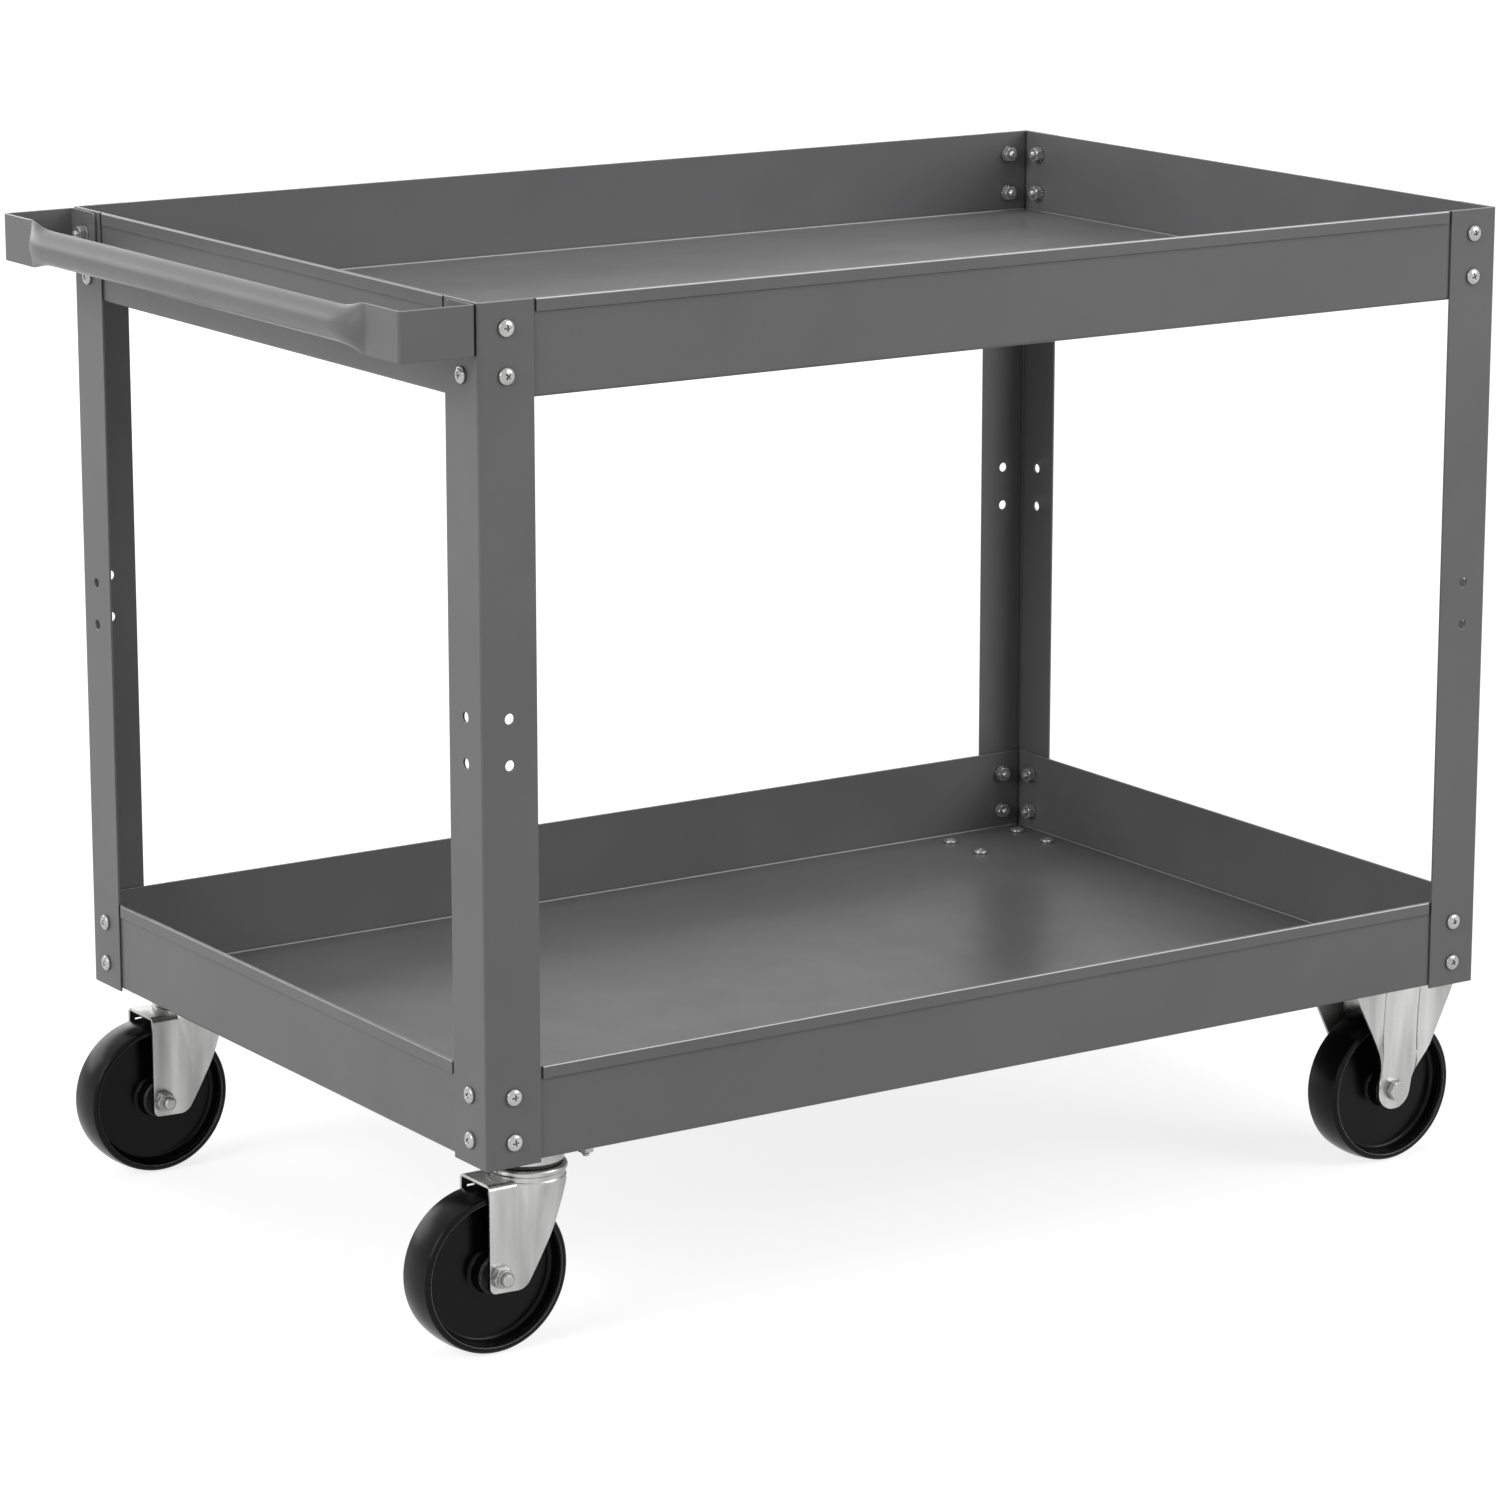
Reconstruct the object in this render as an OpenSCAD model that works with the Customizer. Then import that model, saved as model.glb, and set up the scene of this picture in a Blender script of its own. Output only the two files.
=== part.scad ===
// Two-shelf steel stock cart with a bent-strip push handle, two swivel and two rigid casters.
// +X runs along the cart away from the handle, +Y to the left of someone pushing it, +Z up.
// The origin is the middle of the bounding box, on the floor.

/* [Shelves] */
// Length of a tray over its end walls
shelf_l = 914.4; // [600:0.1:1300]
// Width of a tray over its side walls
shelf_w = 609.6; // [400:0.1:900]
// Height of a tray wall, from the underside of its floor to the rim
shelf_h = 69.2; // [60:0.1:100]
// Thickness of the tray sheet
sheet_t = 1.2; // [0.8:0.1:2]
// Outside radius of the bend between floor and wall
sheet_bend_r = 2.6; // [2.2:0.1:4]
// Height of the hem folded outward over the rim
hem_h = 9.4; // [6:0.1:14]
// Slit between the two sheets of the hem
hem_slit = 0.2; // [0.1:0.05:0.3]
// Space between the end of a hem and the edge of the post
hem_end_gap = 2.6; // [1:0.1:4]
// Slit between two walls at a tray corner
corner_slit = 0.6; // [0.3:0.1:1]

/* [Posts] */
// Height of a corner post
post_h = 621.4; // [450:0.1:900]
// Width of each leg of a post, over the corner
post_leg = 45; // [38:0.1:60]
// Thickness of the post sheet
post_t = 1.6; // [1.2:0.1:3]
// Outside radius of the post's corner bend
post_bend_r = 2.4; // [2:0.1:4]
// How far the posts reach below the lower tray
post_drop = 1.6; // [1:0.1:6]

/* [Shelf bolts] */
// Depth of the upper row of bolts below a tray's rim
rim_to_bolt = 18.8; // [17:0.1:24]
// Height between the two rows of bolts in a tray wall
bolt_pitch = 33.5; // [28:0.1:40]
// Diameter of a shelf bolt
bolt_d = 6.35; // [5:0.05:7]
// Length of a shelf bolt under its head
bolt_len = 12.7; // [11:0.1:16]
// Extra diameter of every bolt hole
hole_clearance = 1.55; // [0.6:0.05:2]
// Diameter of a bolt's pan head
head_d = 12.4; // [11:0.1:14]
// Height of a bolt's pan head
head_h = 3.4; // [2.5:0.1:4]
// Height of the domed part of a pan head
head_dome_h = 2; // [1:0.1:2.4]
// Chamfer on the end of a shelf bolt
bolt_tip = 0.8; // [0.4:0.1:1.2]
// Depth of the cross recess in a pan head
recess_depth = 1.8; // [1:0.1:2.2]
// Width of the cross recess
recess_w = 1.3; // [0.8:0.1:1.8]
// Span of the cross recess
recess_span = 6.6; // [5:0.1:8]
// Width across the flats of a shelf nut
nut_af = 11.1; // [9:0.1:12]
// Height of a shelf nut
nut_h = 5.6; // [4:0.1:7]
// Diameter of the washer under a shelf nut
washer_d = 13.4; // [12:0.1:15]
// Thickness of the washer under a shelf nut
washer_t = 1; // [0.6:0.1:1.6]
// Extra diameter of the bore of a nut or washer over its bolt
thread_play = 0.1; // [0.05:0.05:0.2]
// Angle of the chamfer on the corners of nuts and hexagonal heads
hex_chamfer = 30; // [20:1:35]

/* [Handle] */
// Space between a post's side face and the handle's arm
handle_side_gap = 1.4; // [0:0.1:3]
// Reach of the handle's flat front beyond the posts
handle_reach = 60.5; // [45:0.1:90]
// Height of the strip that the handle is bent from
handle_h = 36; // [30:0.1:36]
// Thickness of the strip
handle_t = 1.9; // [1.5:0.1:3]
// Outside radius of the handle's bends
handle_bend_r = 3.6; // [3.2:0.1:6]
// Length of the flange that is bolted to a post
flange_l = 38.5; // [32:0.1:42]
// Radius of the flange's outer corners
flange_corner_r = 5; // [2:0.1:8]
// Length of the flat front between a corner and the grip
handle_flat = 48; // [30:0.1:70]
// Length of the stretch that turns from flat to half round
grip_blend = 42; // [35:0.1:80]
// Half the angle of the grip's round section
grip_half_angle = 82; // [60:1:86]

/* [Caster plates] */
// Height of a caster from the floor to the top of its plate
caster_h = 151; // [147:0.1:180]
// Length of a caster's top plate
plate_l = 92; // [88:0.1:110]
// Width of a caster's top plate
plate_w = 65.6; // [62:0.1:80]
// Thickness of a caster's top plate
plate_t = 2.5; // [2:0.1:4]
// Corner radius of a caster's top plate
plate_corner_r = 6; // [3:0.1:9]
// Spacing of the caster bolts along the cart
caster_bolt_x = 73; // [70:0.1:76]
// Spacing of the caster bolts across the cart
caster_bolt_y = 45; // [42:0.1:46]
// Centre of a swivel caster, from the handle end of the posts
swivel_inset = 60; // [55:0.1:90]
// Centre of a rigid caster, from the far end of the posts
rigid_inset = 56; // [52:0.1:90]
// Centre of a swivel caster, from the side faces of the posts
swivel_inset_y = 45.6; // [42:0.1:80]
// Centre of a rigid caster, from the side faces of the posts
rigid_inset_y = 47; // [42:0.1:80]

/* [Wheels] */
// Diameter of a wheel
wheel_d = 121.4; // [110:0.1:124]
// Width of a wheel's tread
wheel_w = 34.6; // [24:0.1:35]
// Radius of the tread's edges
tread_edge_r = 3; // [1:0.1:5]
// Drop of the tread from its middle to its edges
tread_crown = 1.2; // [0.2:0.1:2]
// Width of the flat ring on the rim's face
rim_ring = 1.6; // [1:0.1:5]
// Radius lost by the inside of the rim as it slopes to the web
rim_slope = 3; // [1:0.1:5]
// Thickness of the web
web_t = 11; // [6:0.1:16]
// Diameter of the hub
hub_d = 31; // [26:0.1:40]
// Space between the hub and each leg of the fork
hub_side_gap = 0.5; // [0.3:0.1:1.2]
// Radius of the fillet where the web meets the rim and the hub
web_fillet_r = 3; // [1:0.1:3.4]
// Chamfer on the outer edge of the hub
hub_chamfer = 1; // [0.4:0.1:1.6]

/* [Axles] */
// Diameter of an axle bolt
axle_d = 9.5; // [6:0.1:10]
// Extra diameter of the axle holes in the forks and of the sleeve's bore
axle_clearance = 0.2; // [0.1:0.05:0.4]
// Outside diameter of the sleeve that the wheel turns on
sleeve_d = 15; // [12:0.1:18]
// Extra radius of the hub's bore over the sleeve
hub_running_gap = 0.08; // [0.02:0.01:0.1]
// Width across the flats of the axle bolt's head and nut
axle_af = 14.3; // [12:0.1:16]
// Height of the axle bolt's head
axle_head_h = 6; // [4:0.1:7]
// Height of the axle's locknut
axle_nut_h = 9.6; // [6:0.1:11]
// Height of the round collar on the axle's locknut
collar_h = 2.7; // [1.5:0.1:3.4]
// How much narrower the collar is than the locknut's flats
collar_step = 1.1; // [0.4:0.1:2]
// Length of the axle bolt that stands out of its nut
axle_tail = 4; // [1.4:0.1:6]
// Chamfer on the end of an axle bolt
axle_tip = 1.1; // [0.5:0.1:1.3]

/* [Forks] */
// Outside width of a fork at the axle
fork_w = 42; // [42:0.1:48]
// Thickness of a fork's legs
leg_t = 2.3; // [2:0.1:3]

/* [Swivel fork] */
// Distance that the wheel trails behind the kingpin
trail = 35.7; // [25:0.1:36]
// Leg behind the axle
leg_back = 8; // [7:0.1:12]
// Leg below the axle at its rear lower corner
leg_below = 13; // [11:0.1:16]
// Leg below the axle at its front lower corner
leg_toe_below = 13.5; // [11:0.1:16]
// Radius of the leg's rear lower corner
leg_heel_r = 5; // [3:0.1:6]
// Radius of the leg's front lower corner
leg_toe_r = 12; // [9:0.1:14]
// Centre of the front lower corner, ahead of the axle
leg_toe_x = 15; // [10:0.1:18]
// Angle below level at which the front edge leaves the front lower corner
leg_toe_turn = 33; // [25:1:40]
// Point ahead of the kingpin that the front edge bends toward
leg_knee_x = 15.4; // [12:0.1:18]
// Front edge of the leg at its top, ahead of the kingpin
leg_front = 22; // [18:0.1:24]
// Outside radius of the channel's two upper edges
channel_bend_r = 5; // [3.5:0.1:7]
// Height of the ball crown above the channel
crown_rise = 7.5; // [6.5:0.1:10]
// Radius of the ball crown over its rounded bead
crown_r = 30; // [28:0.1:31]
// Radius of the section of the crown's bead
bead_r = 3; // [2.4:0.1:3.2]
// Depth of the groove under the crown's bead
bead_groove = 1.6; // [0.5:0.1:2]
// Radius of the section of the shoulder where the legs leave the crown
shoulder_r = 3.4; // [2.6:0.1:4]
// How far the shoulder stands out from the groove
shoulder_out = 0.8; // [0.1:0.1:1.4]
// Height over which the legs slope from the shoulder to flat
skirt_h = 52; // [30:0.1:56]
// Side of the square hole in the far leg
slot_side = 6.4; // [4:0.1:8]
// Height of the square hole above the axle
slot_rise = 56; // [50:0.1:58]

/* [Swivel bearing] */
// Height of the race under the swivel's top plate
race_h = 8.6; // [6:0.1:12]
// Radius of the race
race_r = 27.5; // [25:0.1:30]
// Radius of the ring of balls
ball_ring_r = 20; // [18:0.1:22]
// Diameter of a ball
ball_d = 6; // [5:0.1:6.5]
// Number of balls in a swivel
ball_count = 18; // [12:1:18]
// Height of the gap between the race and the crown
race_gap = 3; // [2:0.1:4]
// Space between a ball and its groove
ball_play = 0.1; // [0.05:0.05:0.2]
// Outside radius of the seal ring round the balls
seal_r = 26.4; // [25:0.1:27]
// Thickness of the seal ring
seal_t = 2; // [1:0.1:2.4]
// Space between the seal ring and the crown
seal_play = 0.3; // [0.2:0.05:0.6]
// Diameter of the kingpin
kingpin_d = 10; // [8:0.1:12]
// Extra radius of the holes round the kingpin
kingpin_running_gap = 0.06; // [0.02:0.01:0.1]
// Diameter of the kingpin's countersunk head
kingpin_head_d = 15; // [13.5:0.1:18]
// Height of the kingpin's countersunk head
kingpin_head_h = 2.5; // [1.6:0.1:4]
// Straight rim of the kingpin's head
kingpin_rim = 0.4; // [0.2:0.1:0.8]
// Depth of the kingpin's head below the top of the plate
kingpin_sink = 0.2; // [0.1:0.05:0.4]
// Length of the kingpin that stands out of its nut
kingpin_tail = 1; // [0.5:0.1:2]
// Width across the flats of the kingpin's nut
kingpin_nut_af = 16; // [14:0.1:18]
// Height of the kingpin's nut
kingpin_nut_h = 7; // [5:0.1:9]
// Diameter of the kingpin's washer
kingpin_washer_d = 22; // [18:0.1:26]
// Thickness of the kingpin's washer
kingpin_washer_t = 1.6; // [1:0.1:2.4]
// Play between the crown and the kingpin's washer
kingpin_play = 0.2; // [0.1:0.05:0.4]

/* [Rigid fork] */
// Half the width of a rigid leg's narrow lower end
rigid_half_low = 15.3; // [14:0.1:17]
// Width gained on each side of a rigid leg for each millimetre up
rigid_taper = 0.49; // [0.3:0.01:0.5]
// Height above the axle where a rigid leg starts to widen
rigid_taper_start = 16.4; // [14:0.1:24]
// Softness of the turn from the narrow end to the taper
rigid_taper_soft = 10; // [5:0.1:15]
// Outside width of the rigid fork where its flat panels meet the plate
rigid_panel_w = 58.2; // [57.8:0.1:62]
// Half the width of the flat panel at the plate
panel_half_top = 18; // [12:0.1:20]
// Half the width of the flat panel at the axle
panel_half_low = 11; // [8:0.1:12]
// Largest share of a rigid leg's width that its flat panel takes
panel_share = 0.7; // [0.5:0.01:0.8]
// Height above the axle where the wings of a rigid leg are fully out
wing_rise_h = 40; // [30:0.1:60]

/* [Hidden] */
$fn = 64;
FINE = 512;
GRIP_STEPS = 12;
LEG_STEPS = 8;
RIGID_STEPS = 14;

// How far a cutting shape reaches past what it cuts, and a joined shape into its neighbour
cut = 1;
lap = 1;

// Right is the side at -Y, left the side at +Y
RIGHT = -1;
LEFT = 1;
HANDLE_END = -1;
FRONT_END = 1;

// Heights
lower_floor_z = caster_h;
post_foot_z = lower_floor_z - post_drop;
post_top_z = post_foot_z + post_h;
upper_floor_z = post_top_z - shelf_h;
lower_rows = [for (drop = [rim_to_bolt, rim_to_bolt + bolt_pitch]) lower_floor_z + shelf_h - drop];
upper_rows = [for (drop = [rim_to_bolt, rim_to_bolt + bolt_pitch]) post_top_z - drop];
spare_mid_z = (lower_rows[0] + lower_rows[1] + upper_rows[0] + upper_rows[1]) / 4;
spare_rows = [spare_mid_z + bolt_pitch / 2, spare_mid_z - bolt_pitch / 2];

// Outline of the posts, which stand outside the trays
frame_half_l = shelf_l / 2 + post_t;
frame_half_w = shelf_w / 2 + post_t;
bolt_inset = post_leg / 2;
bolt_hole_d = bolt_d + hole_clearance;
nut_bore_d = bolt_d + thread_play;
stack_t = post_t + sheet_t;

// Grip: the strip keeps its length round the section as it curls
handle_w = 2 * (frame_half_w - handle_side_gap);
grip_mid_r = handle_h / (2 * grip_half_angle * PI / 180);
grip_rise = grip_mid_r * (1 - cos(grip_half_angle));
handle_front_x = -frame_half_l - handle_reach;
handle_mid_x = handle_front_x + handle_t / 2;
handle_mid_z = upper_rows[0];
grip_half_l = handle_w / 2 - handle_flat - grip_blend;
in_handle_row = handle_mid_z;
no_handle_row = -1;
// The blend's turn is quick at its crease and its stations are closest there
blend_power = 3;
station_power = 1.5;
least_curl = 0.002;

// The frame's middle is moved so that the origin is the middle of the bounding box
back_x = handle_mid_x - grip_rise - handle_t / 2;
front_x = frame_half_l + head_h;
frame_shift = -(back_x + front_x) / 2;

// Casters
axle_z = wheel_d / 2;
plate_under_z = caster_h - plate_t;
race_under_z = plate_under_z - race_h;
crown_z = race_under_z - race_gap;
channel_z = crown_z - crown_rise;
crown_under_z = crown_z - leg_t;
ball_z = race_under_z - race_gap / 2;
ball_groove_r = ball_d / 2 + ball_play;
leg_inside = fork_w / 2 - leg_t;
swivel_y = frame_half_w - swivel_inset_y;
rigid_y = frame_half_w - rigid_inset_y;
swivel_x = -frame_half_l + swivel_inset;
rigid_x = frame_half_l - rigid_inset;
kingpin_hole_d = kingpin_d + 2 * kingpin_running_gap;
kingpin_top_z = caster_h - kingpin_sink;
washer_top_z = crown_under_z - kingpin_play;
kingpin_nut_top_z = washer_top_z - kingpin_washer_t;
axle_hole_d = axle_d + axle_clearance;
neck_x = crown_r - bead_groove;
shoulder_z = channel_z - shoulder_r;
rigid_top = plate_under_z - axle_z;
rigid_end_r = rigid_side(0);
axle_seat_r = axle_af / sqrt(3);

// Colours
FRAME_GREY = "#6b6c6e";
ZINC = "#c6c9cb";
BRIGHT_ZINC = "#d9dbdd";
STEEL = "#9aa0a4";
WHEEL_BLACK = "#1b1b1c";
SEAL_BLACK = "#141414";

// Places a piece drawn in the cart's own middle frame
module in_frame() {
  translate([frame_shift, 0, 0]) children();
}

// Frame of one corner post: origin at its outer corner, +X and +Y into the cart
module at_corner(end, side) {
  translate([end * frame_half_l, side * frame_half_w, 0])
    mirror([end > 0 ? 1 : 0, 0, 0])
      mirror([0, side > 0 ? 1 : 0, 0]) children();
}

// Frame of a hole in the long face of a corner: +Z points out of the cart
module on_side_face(z) {
  translate([bolt_inset, 0, z]) rotate([90, 0, 0]) children();
}

// Frame of a hole in the end face of a corner: +Z points out of the cart
module on_end_face(z) {
  translate([0, bolt_inset, z]) rotate([0, -90, 0]) children();
}

// Frame of a caster: origin on the floor under the middle of its plate
module at_swivel(side) {
  translate([swivel_x, side * swivel_y, 0]) children();
}

module at_rigid(side) {
  translate([rigid_x, side * rigid_y, 0]) children();
}

// Quarter of a ring between two radii, in the corner between -X and -Y
module quarter_ring(outer, inner) {
  intersection() {
    difference() {
      circle(outer);
      circle(inner);
    }
    translate([-outer, -outer]) square(outer);
  }
}

// Rectangle with round corners, centred
module round_rectangle(l, w, r) {
  square([l - 2 * r, w], center = true);
  square([l, w - 2 * r], center = true);
  for (x = [-1, 1])
    for (y = [-1, 1])
      translate([x * (l / 2 - r), y * (w / 2 - r)]) circle(r);
}

// Strip of sheet through a list of rings. Each ring has as many points, and runs along one face
// of the strip and back along the other. The two ends are closed by bands across the strip.
module skin(rings) {
  n = len(rings[0]);
  last = len(rings) - 1;
  points = [for (ring = rings) each ring];
  sides = [
    for (i = [0:last - 1])
      for (k = [0:n - 1])
        let (a = i * n + k, b = i * n + (k + 1) % n)
          each [[a, b, b + n], [a, b + n, a + n]]
  ];
  caps = [
    for (k = [0:n / 2 - 2])
      let (a = last * n)
        each [[k + 1, k, n - 1 - k, n - 2 - k], [a + k, a + k + 1, a + n - 2 - k, a + n - 1 - k]]
  ];
  polyhedron(points, concat(sides, caps));
}

// Fasteners, drawn with the seat at z = 0 and the head above it

module pan_head_bolt(length) {
  dome_r = (pow(head_d / 2, 2) + pow(head_dome_h, 2)) / (2 * head_dome_h);
  difference() {
    union() {
      rotate_extrude()
        intersection() {
          square([head_d / 2, head_h]);
          translate([0, head_h - dome_r]) circle(dome_r);
        }
      rotate_extrude()
        polygon([
          [0, 0], [0, -length], [bolt_d / 2 - bolt_tip, -length],
          [bolt_d / 2, bolt_tip - length], [bolt_d / 2, 0]
        ]);
    }
    for (turn = [0, 90])
      rotate(turn)
        translate([-recess_span / 2, -recess_w / 2, head_h - recess_depth])
          cube([recess_span, recess_w, head_h]);
  }
}

// Hexagon with chamfered corners, from z = 0 up
module hexagon(af, h) {
  corner_r = af / sqrt(3);
  chamfer = corner_r - af / 2;
  drop = chamfer * tan(hex_chamfer);
  intersection() {
    cylinder(r = corner_r, h = h, $fn = 6);
    rotate_extrude()
      polygon([
        [0, 0], [corner_r, 0], [corner_r, h - drop], [corner_r - chamfer, h], [0, h]
      ]);
  }
}

module hex_nut(af, h, bore_d) {
  difference() {
    hexagon(af, h);
    translate([0, 0, -cut]) cylinder(d = bore_d, h = h + 2 * cut);
  }
}

module washer(d, t, bore_d) {
  difference() {
    cylinder(d = d, h = t);
    translate([0, 0, -cut]) cylinder(d = bore_d, h = t + 2 * cut);
  }
}

// Bolt hole through sheets whose outer face is at z = 0
module bolt_hole(depth) {
  translate([0, 0, -depth - cut]) cylinder(d = bolt_hole_d, h = depth + 2 * cut);
}

// Puts its children at every bolt of one tray whose head is outside
module at_shelf_bolts(rows, handle_row) {
  for (end = [HANDLE_END, FRONT_END])
    for (side = [RIGHT, LEFT])
      at_corner(end, side)
        for (z = rows) {
          on_side_face(z) children();
          if (end == FRONT_END || z != handle_row)
            on_end_face(z) children();
        }
}

// Puts its children at the two bolts that hold the handle
module at_handle_bolts() {
  for (side = [RIGHT, LEFT])
    at_corner(HANDLE_END, side) on_end_face(handle_mid_z) children();
}

module at_plate_bolts() {
  for (i = [-1, 1])
    for (j = [-1, 1])
      translate([i * caster_bolt_x / 2, j * caster_bolt_y / 2, 0]) children();
}

module at_caster_bolts() {
  for (side = [RIGHT, LEFT]) {
    at_swivel(side) at_plate_bolts() children();
    at_rigid(side) at_plate_bolts() children();
  }
}

module shelf_bolts(rows, handle_row) {
  color(BRIGHT_ZINC) at_shelf_bolts(rows, handle_row) pan_head_bolt(bolt_len);
}

module shelf_washers(rows, handle_row) {
  color(ZINC)
    at_shelf_bolts(rows, handle_row)
      translate([0, 0, -stack_t - washer_t]) washer(washer_d, washer_t, nut_bore_d);
}

module shelf_nuts(rows, handle_row) {
  color(BRIGHT_ZINC)
    at_shelf_bolts(rows, handle_row)
      translate([0, 0, -stack_t - washer_t]) mirror([0, 0, 1]) hex_nut(nut_af, nut_h, nut_bore_d);
}

module handle_bolts() {
  color(BRIGHT_ZINC)
    at_handle_bolts() translate([0, 0, -stack_t]) mirror([0, 0, 1]) pan_head_bolt(bolt_len + handle_t);
}

module handle_washers() {
  color(ZINC)
    at_handle_bolts() translate([0, 0, handle_t]) washer(washer_d, washer_t, nut_bore_d);
}

module handle_nuts() {
  color(BRIGHT_ZINC)
    at_handle_bolts()
      translate([0, 0, handle_t + washer_t]) hex_nut(nut_af, nut_h, nut_bore_d);
}

module caster_bolts() {
  color(BRIGHT_ZINC)
    at_caster_bolts() translate([0, 0, caster_h + sheet_t]) pan_head_bolt(bolt_len);
}

module caster_nuts() {
  color(BRIGHT_ZINC)
    at_caster_bolts()
      translate([0, 0, plate_under_z]) mirror([0, 0, 1]) hex_nut(nut_af, nut_h, nut_bore_d);
}

// Frame sheet metal

// Wall of a tray in section: X outward, Y up from the floor's underside
module wall_section() {
  r = sheet_bend_r;
  translate([-r - lap, 0]) square([lap, sheet_t]);
  translate([-r, r]) mirror([1, 0]) quarter_ring(r, r - sheet_t);
  translate([-sheet_t, r]) square([sheet_t, shelf_h - r]);
}

// Hem in section, folded outward over the rim
module hem_section() {
  fold_r = sheet_t + hem_slit / 2;
  difference() {
    union() {
      translate([-sheet_t, shelf_h - hem_h]) square([2 * fold_r, hem_h - fold_r]);
      translate([hem_slit / 2, shelf_h - fold_r]) circle(fold_r);
    }
    translate([0, shelf_h - hem_h - cut]) square([hem_slit, hem_h + cut - fold_r]);
  }
}

// Draws a section along one wall: half the tray's size across the wall, and half the wall's length
module along_wall(turn, reach, half_run) {
  rotate(turn)
    translate([reach, half_run, 0])
      rotate([90, 0, 0]) linear_extrude(2 * half_run) children();
}

module tray() {
  r = sheet_bend_r;
  wall_short = sheet_t + corner_slit;
  hem_short = post_leg + hem_end_gap - post_t;
  post_bend_in = post_bend_r - post_t;
  difference() {
    union() {
      translate([-shelf_l / 2 + r, -shelf_w / 2 + r, 0])
        cube([shelf_l - 2 * r, shelf_w - 2 * r, sheet_t]);
      for (turn = [0, 180])
        along_wall(turn, shelf_l / 2, shelf_w / 2 - wall_short) wall_section();
      for (turn = [90, 270]) {
        along_wall(turn, shelf_w / 2, shelf_l / 2 - wall_short) wall_section();
        along_wall(turn, shelf_w / 2, shelf_l / 2 - post_bend_in)
          translate([-sheet_t, 2 * r]) square([sheet_t, shelf_h - 2 * r]);
      }
      for (turn = [0, 180])
        along_wall(turn, shelf_l / 2, shelf_w / 2 - hem_short) hem_section();
      for (turn = [90, 270])
        along_wall(turn, shelf_w / 2, shelf_l / 2 - hem_short) hem_section();
    }
    for (x = [-1, 1])
      for (y = [-1, 1])
        translate([x * shelf_l / 2, y * shelf_w / 2, 0])
          cube([2 * r, 2 * r, 3 * r], center = true);
  }
}

// Bolt holes through the walls of a tray, with its rows in the cart's frame
module wall_holes(rows) {
  for (end = [HANDLE_END, FRONT_END])
    for (side = [RIGHT, LEFT])
      at_corner(end, side)
        for (z = rows) {
          on_side_face(z) bolt_hole(stack_t);
          on_end_face(z) bolt_hole(stack_t);
        }
}

module upper_shelf() {
  color(FRAME_GREY)
    difference() {
      translate([0, 0, upper_floor_z]) tray();
      wall_holes(upper_rows);
    }
}

module lower_shelf() {
  color(FRAME_GREY)
    difference() {
      translate([0, 0, lower_floor_z]) tray();
      wall_holes(lower_rows);
      at_caster_bolts() translate([0, 0, caster_h + sheet_t]) bolt_hole(sheet_t);
    }
}

module post(end, side) {
  r = post_bend_r;
  color(FRAME_GREY)
    at_corner(end, side)
      difference() {
        translate([0, 0, post_foot_z])
          linear_extrude(post_h) {
            translate([r, 0]) square([post_leg - r, post_t]);
            translate([0, r]) square([post_t, post_leg - r]);
            translate([r, r]) quarter_ring(r, r - post_t);
          }
        for (z = concat(upper_rows, spare_rows, lower_rows)) {
          on_side_face(z) bolt_hole(post_t);
          on_end_face(z) bolt_hole(post_t);
        }
      }
}

// Handle

// Flat part of the handle at one end, seen from above: X forward, Y outward from the middle
module handle_end_outline() {
  r = handle_bend_r;
  t = handle_t;
  y = handle_w / 2;
  face_x = -frame_half_l;
  translate([handle_front_x, y - handle_flat]) square([t, handle_flat - r]);
  translate([handle_front_x + r, y - r]) mirror([0, 1]) quarter_ring(r, r - t);
  translate([handle_front_x + r, y - t]) square([handle_reach - 2 * r, t]);
  translate([face_x - r, y - r]) rotate(180) quarter_ring(r, r - t);
  translate([face_x - t, y - flange_l]) square([t, flange_l - r]);
}

// Trims the flange's free end to round corners
module flange_trim() {
  y = handle_w / 2 - flange_l;
  c = flange_corner_r;
  for (up = [-1, 1])
    translate([-frame_half_l - handle_t - cut, y, handle_mid_z + up * handle_h / 2])
      rotate([0, 90, 0])
        difference() {
          translate([-c, -cut, 0]) cube([2 * c, c + cut, handle_t + 2 * cut]);
          translate([up * c, c, -cut]) cylinder(r = c, h = handle_t + 4 * cut);
        }
}

// Section of the strip at a share of its full curl, as a closed ring at y
function curl_ring(share, y) =
  let (
    half = max(share, least_curl) * grip_half_angle,
    r = handle_h / (2 * half * PI / 180),
    arc = [for (i = [0:GRIP_STEPS]) half * (2 * i / GRIP_STEPS - 1)],
    sink = handle_mid_x + r * cos(half),
    outer = r + handle_t / 2,
    inner = r - handle_t / 2
  )
  concat(
    [for (a = arc) [sink - outer * cos(a), y, handle_mid_z + outer * sin(a)]],
    [for (a = arc) [sink - inner * cos(a), y, handle_mid_z - inner * sin(a)]]
  );

// Share of the full curl at a share of the blend: quick at the crease, slow at the grip
function curl(u) = 1 - pow(1 - u, blend_power);

// The grip with its two blends, which start inside the flat stretches
module grip() {
  start_y = grip_half_l + grip_blend;
  half = concat(
    [[0, start_y + lap]],
    [for (i = [0:GRIP_STEPS])
      let (u = pow(i / GRIP_STEPS, station_power))
        [curl(u), start_y - grip_blend * u]]
  );
  other_half = [for (i = [len(half) - 1:-1:0]) [half[i][0], -half[i][1]]];
  skin([for (s = concat(half, other_half)) curl_ring(s[0], s[1])]);
}

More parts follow.
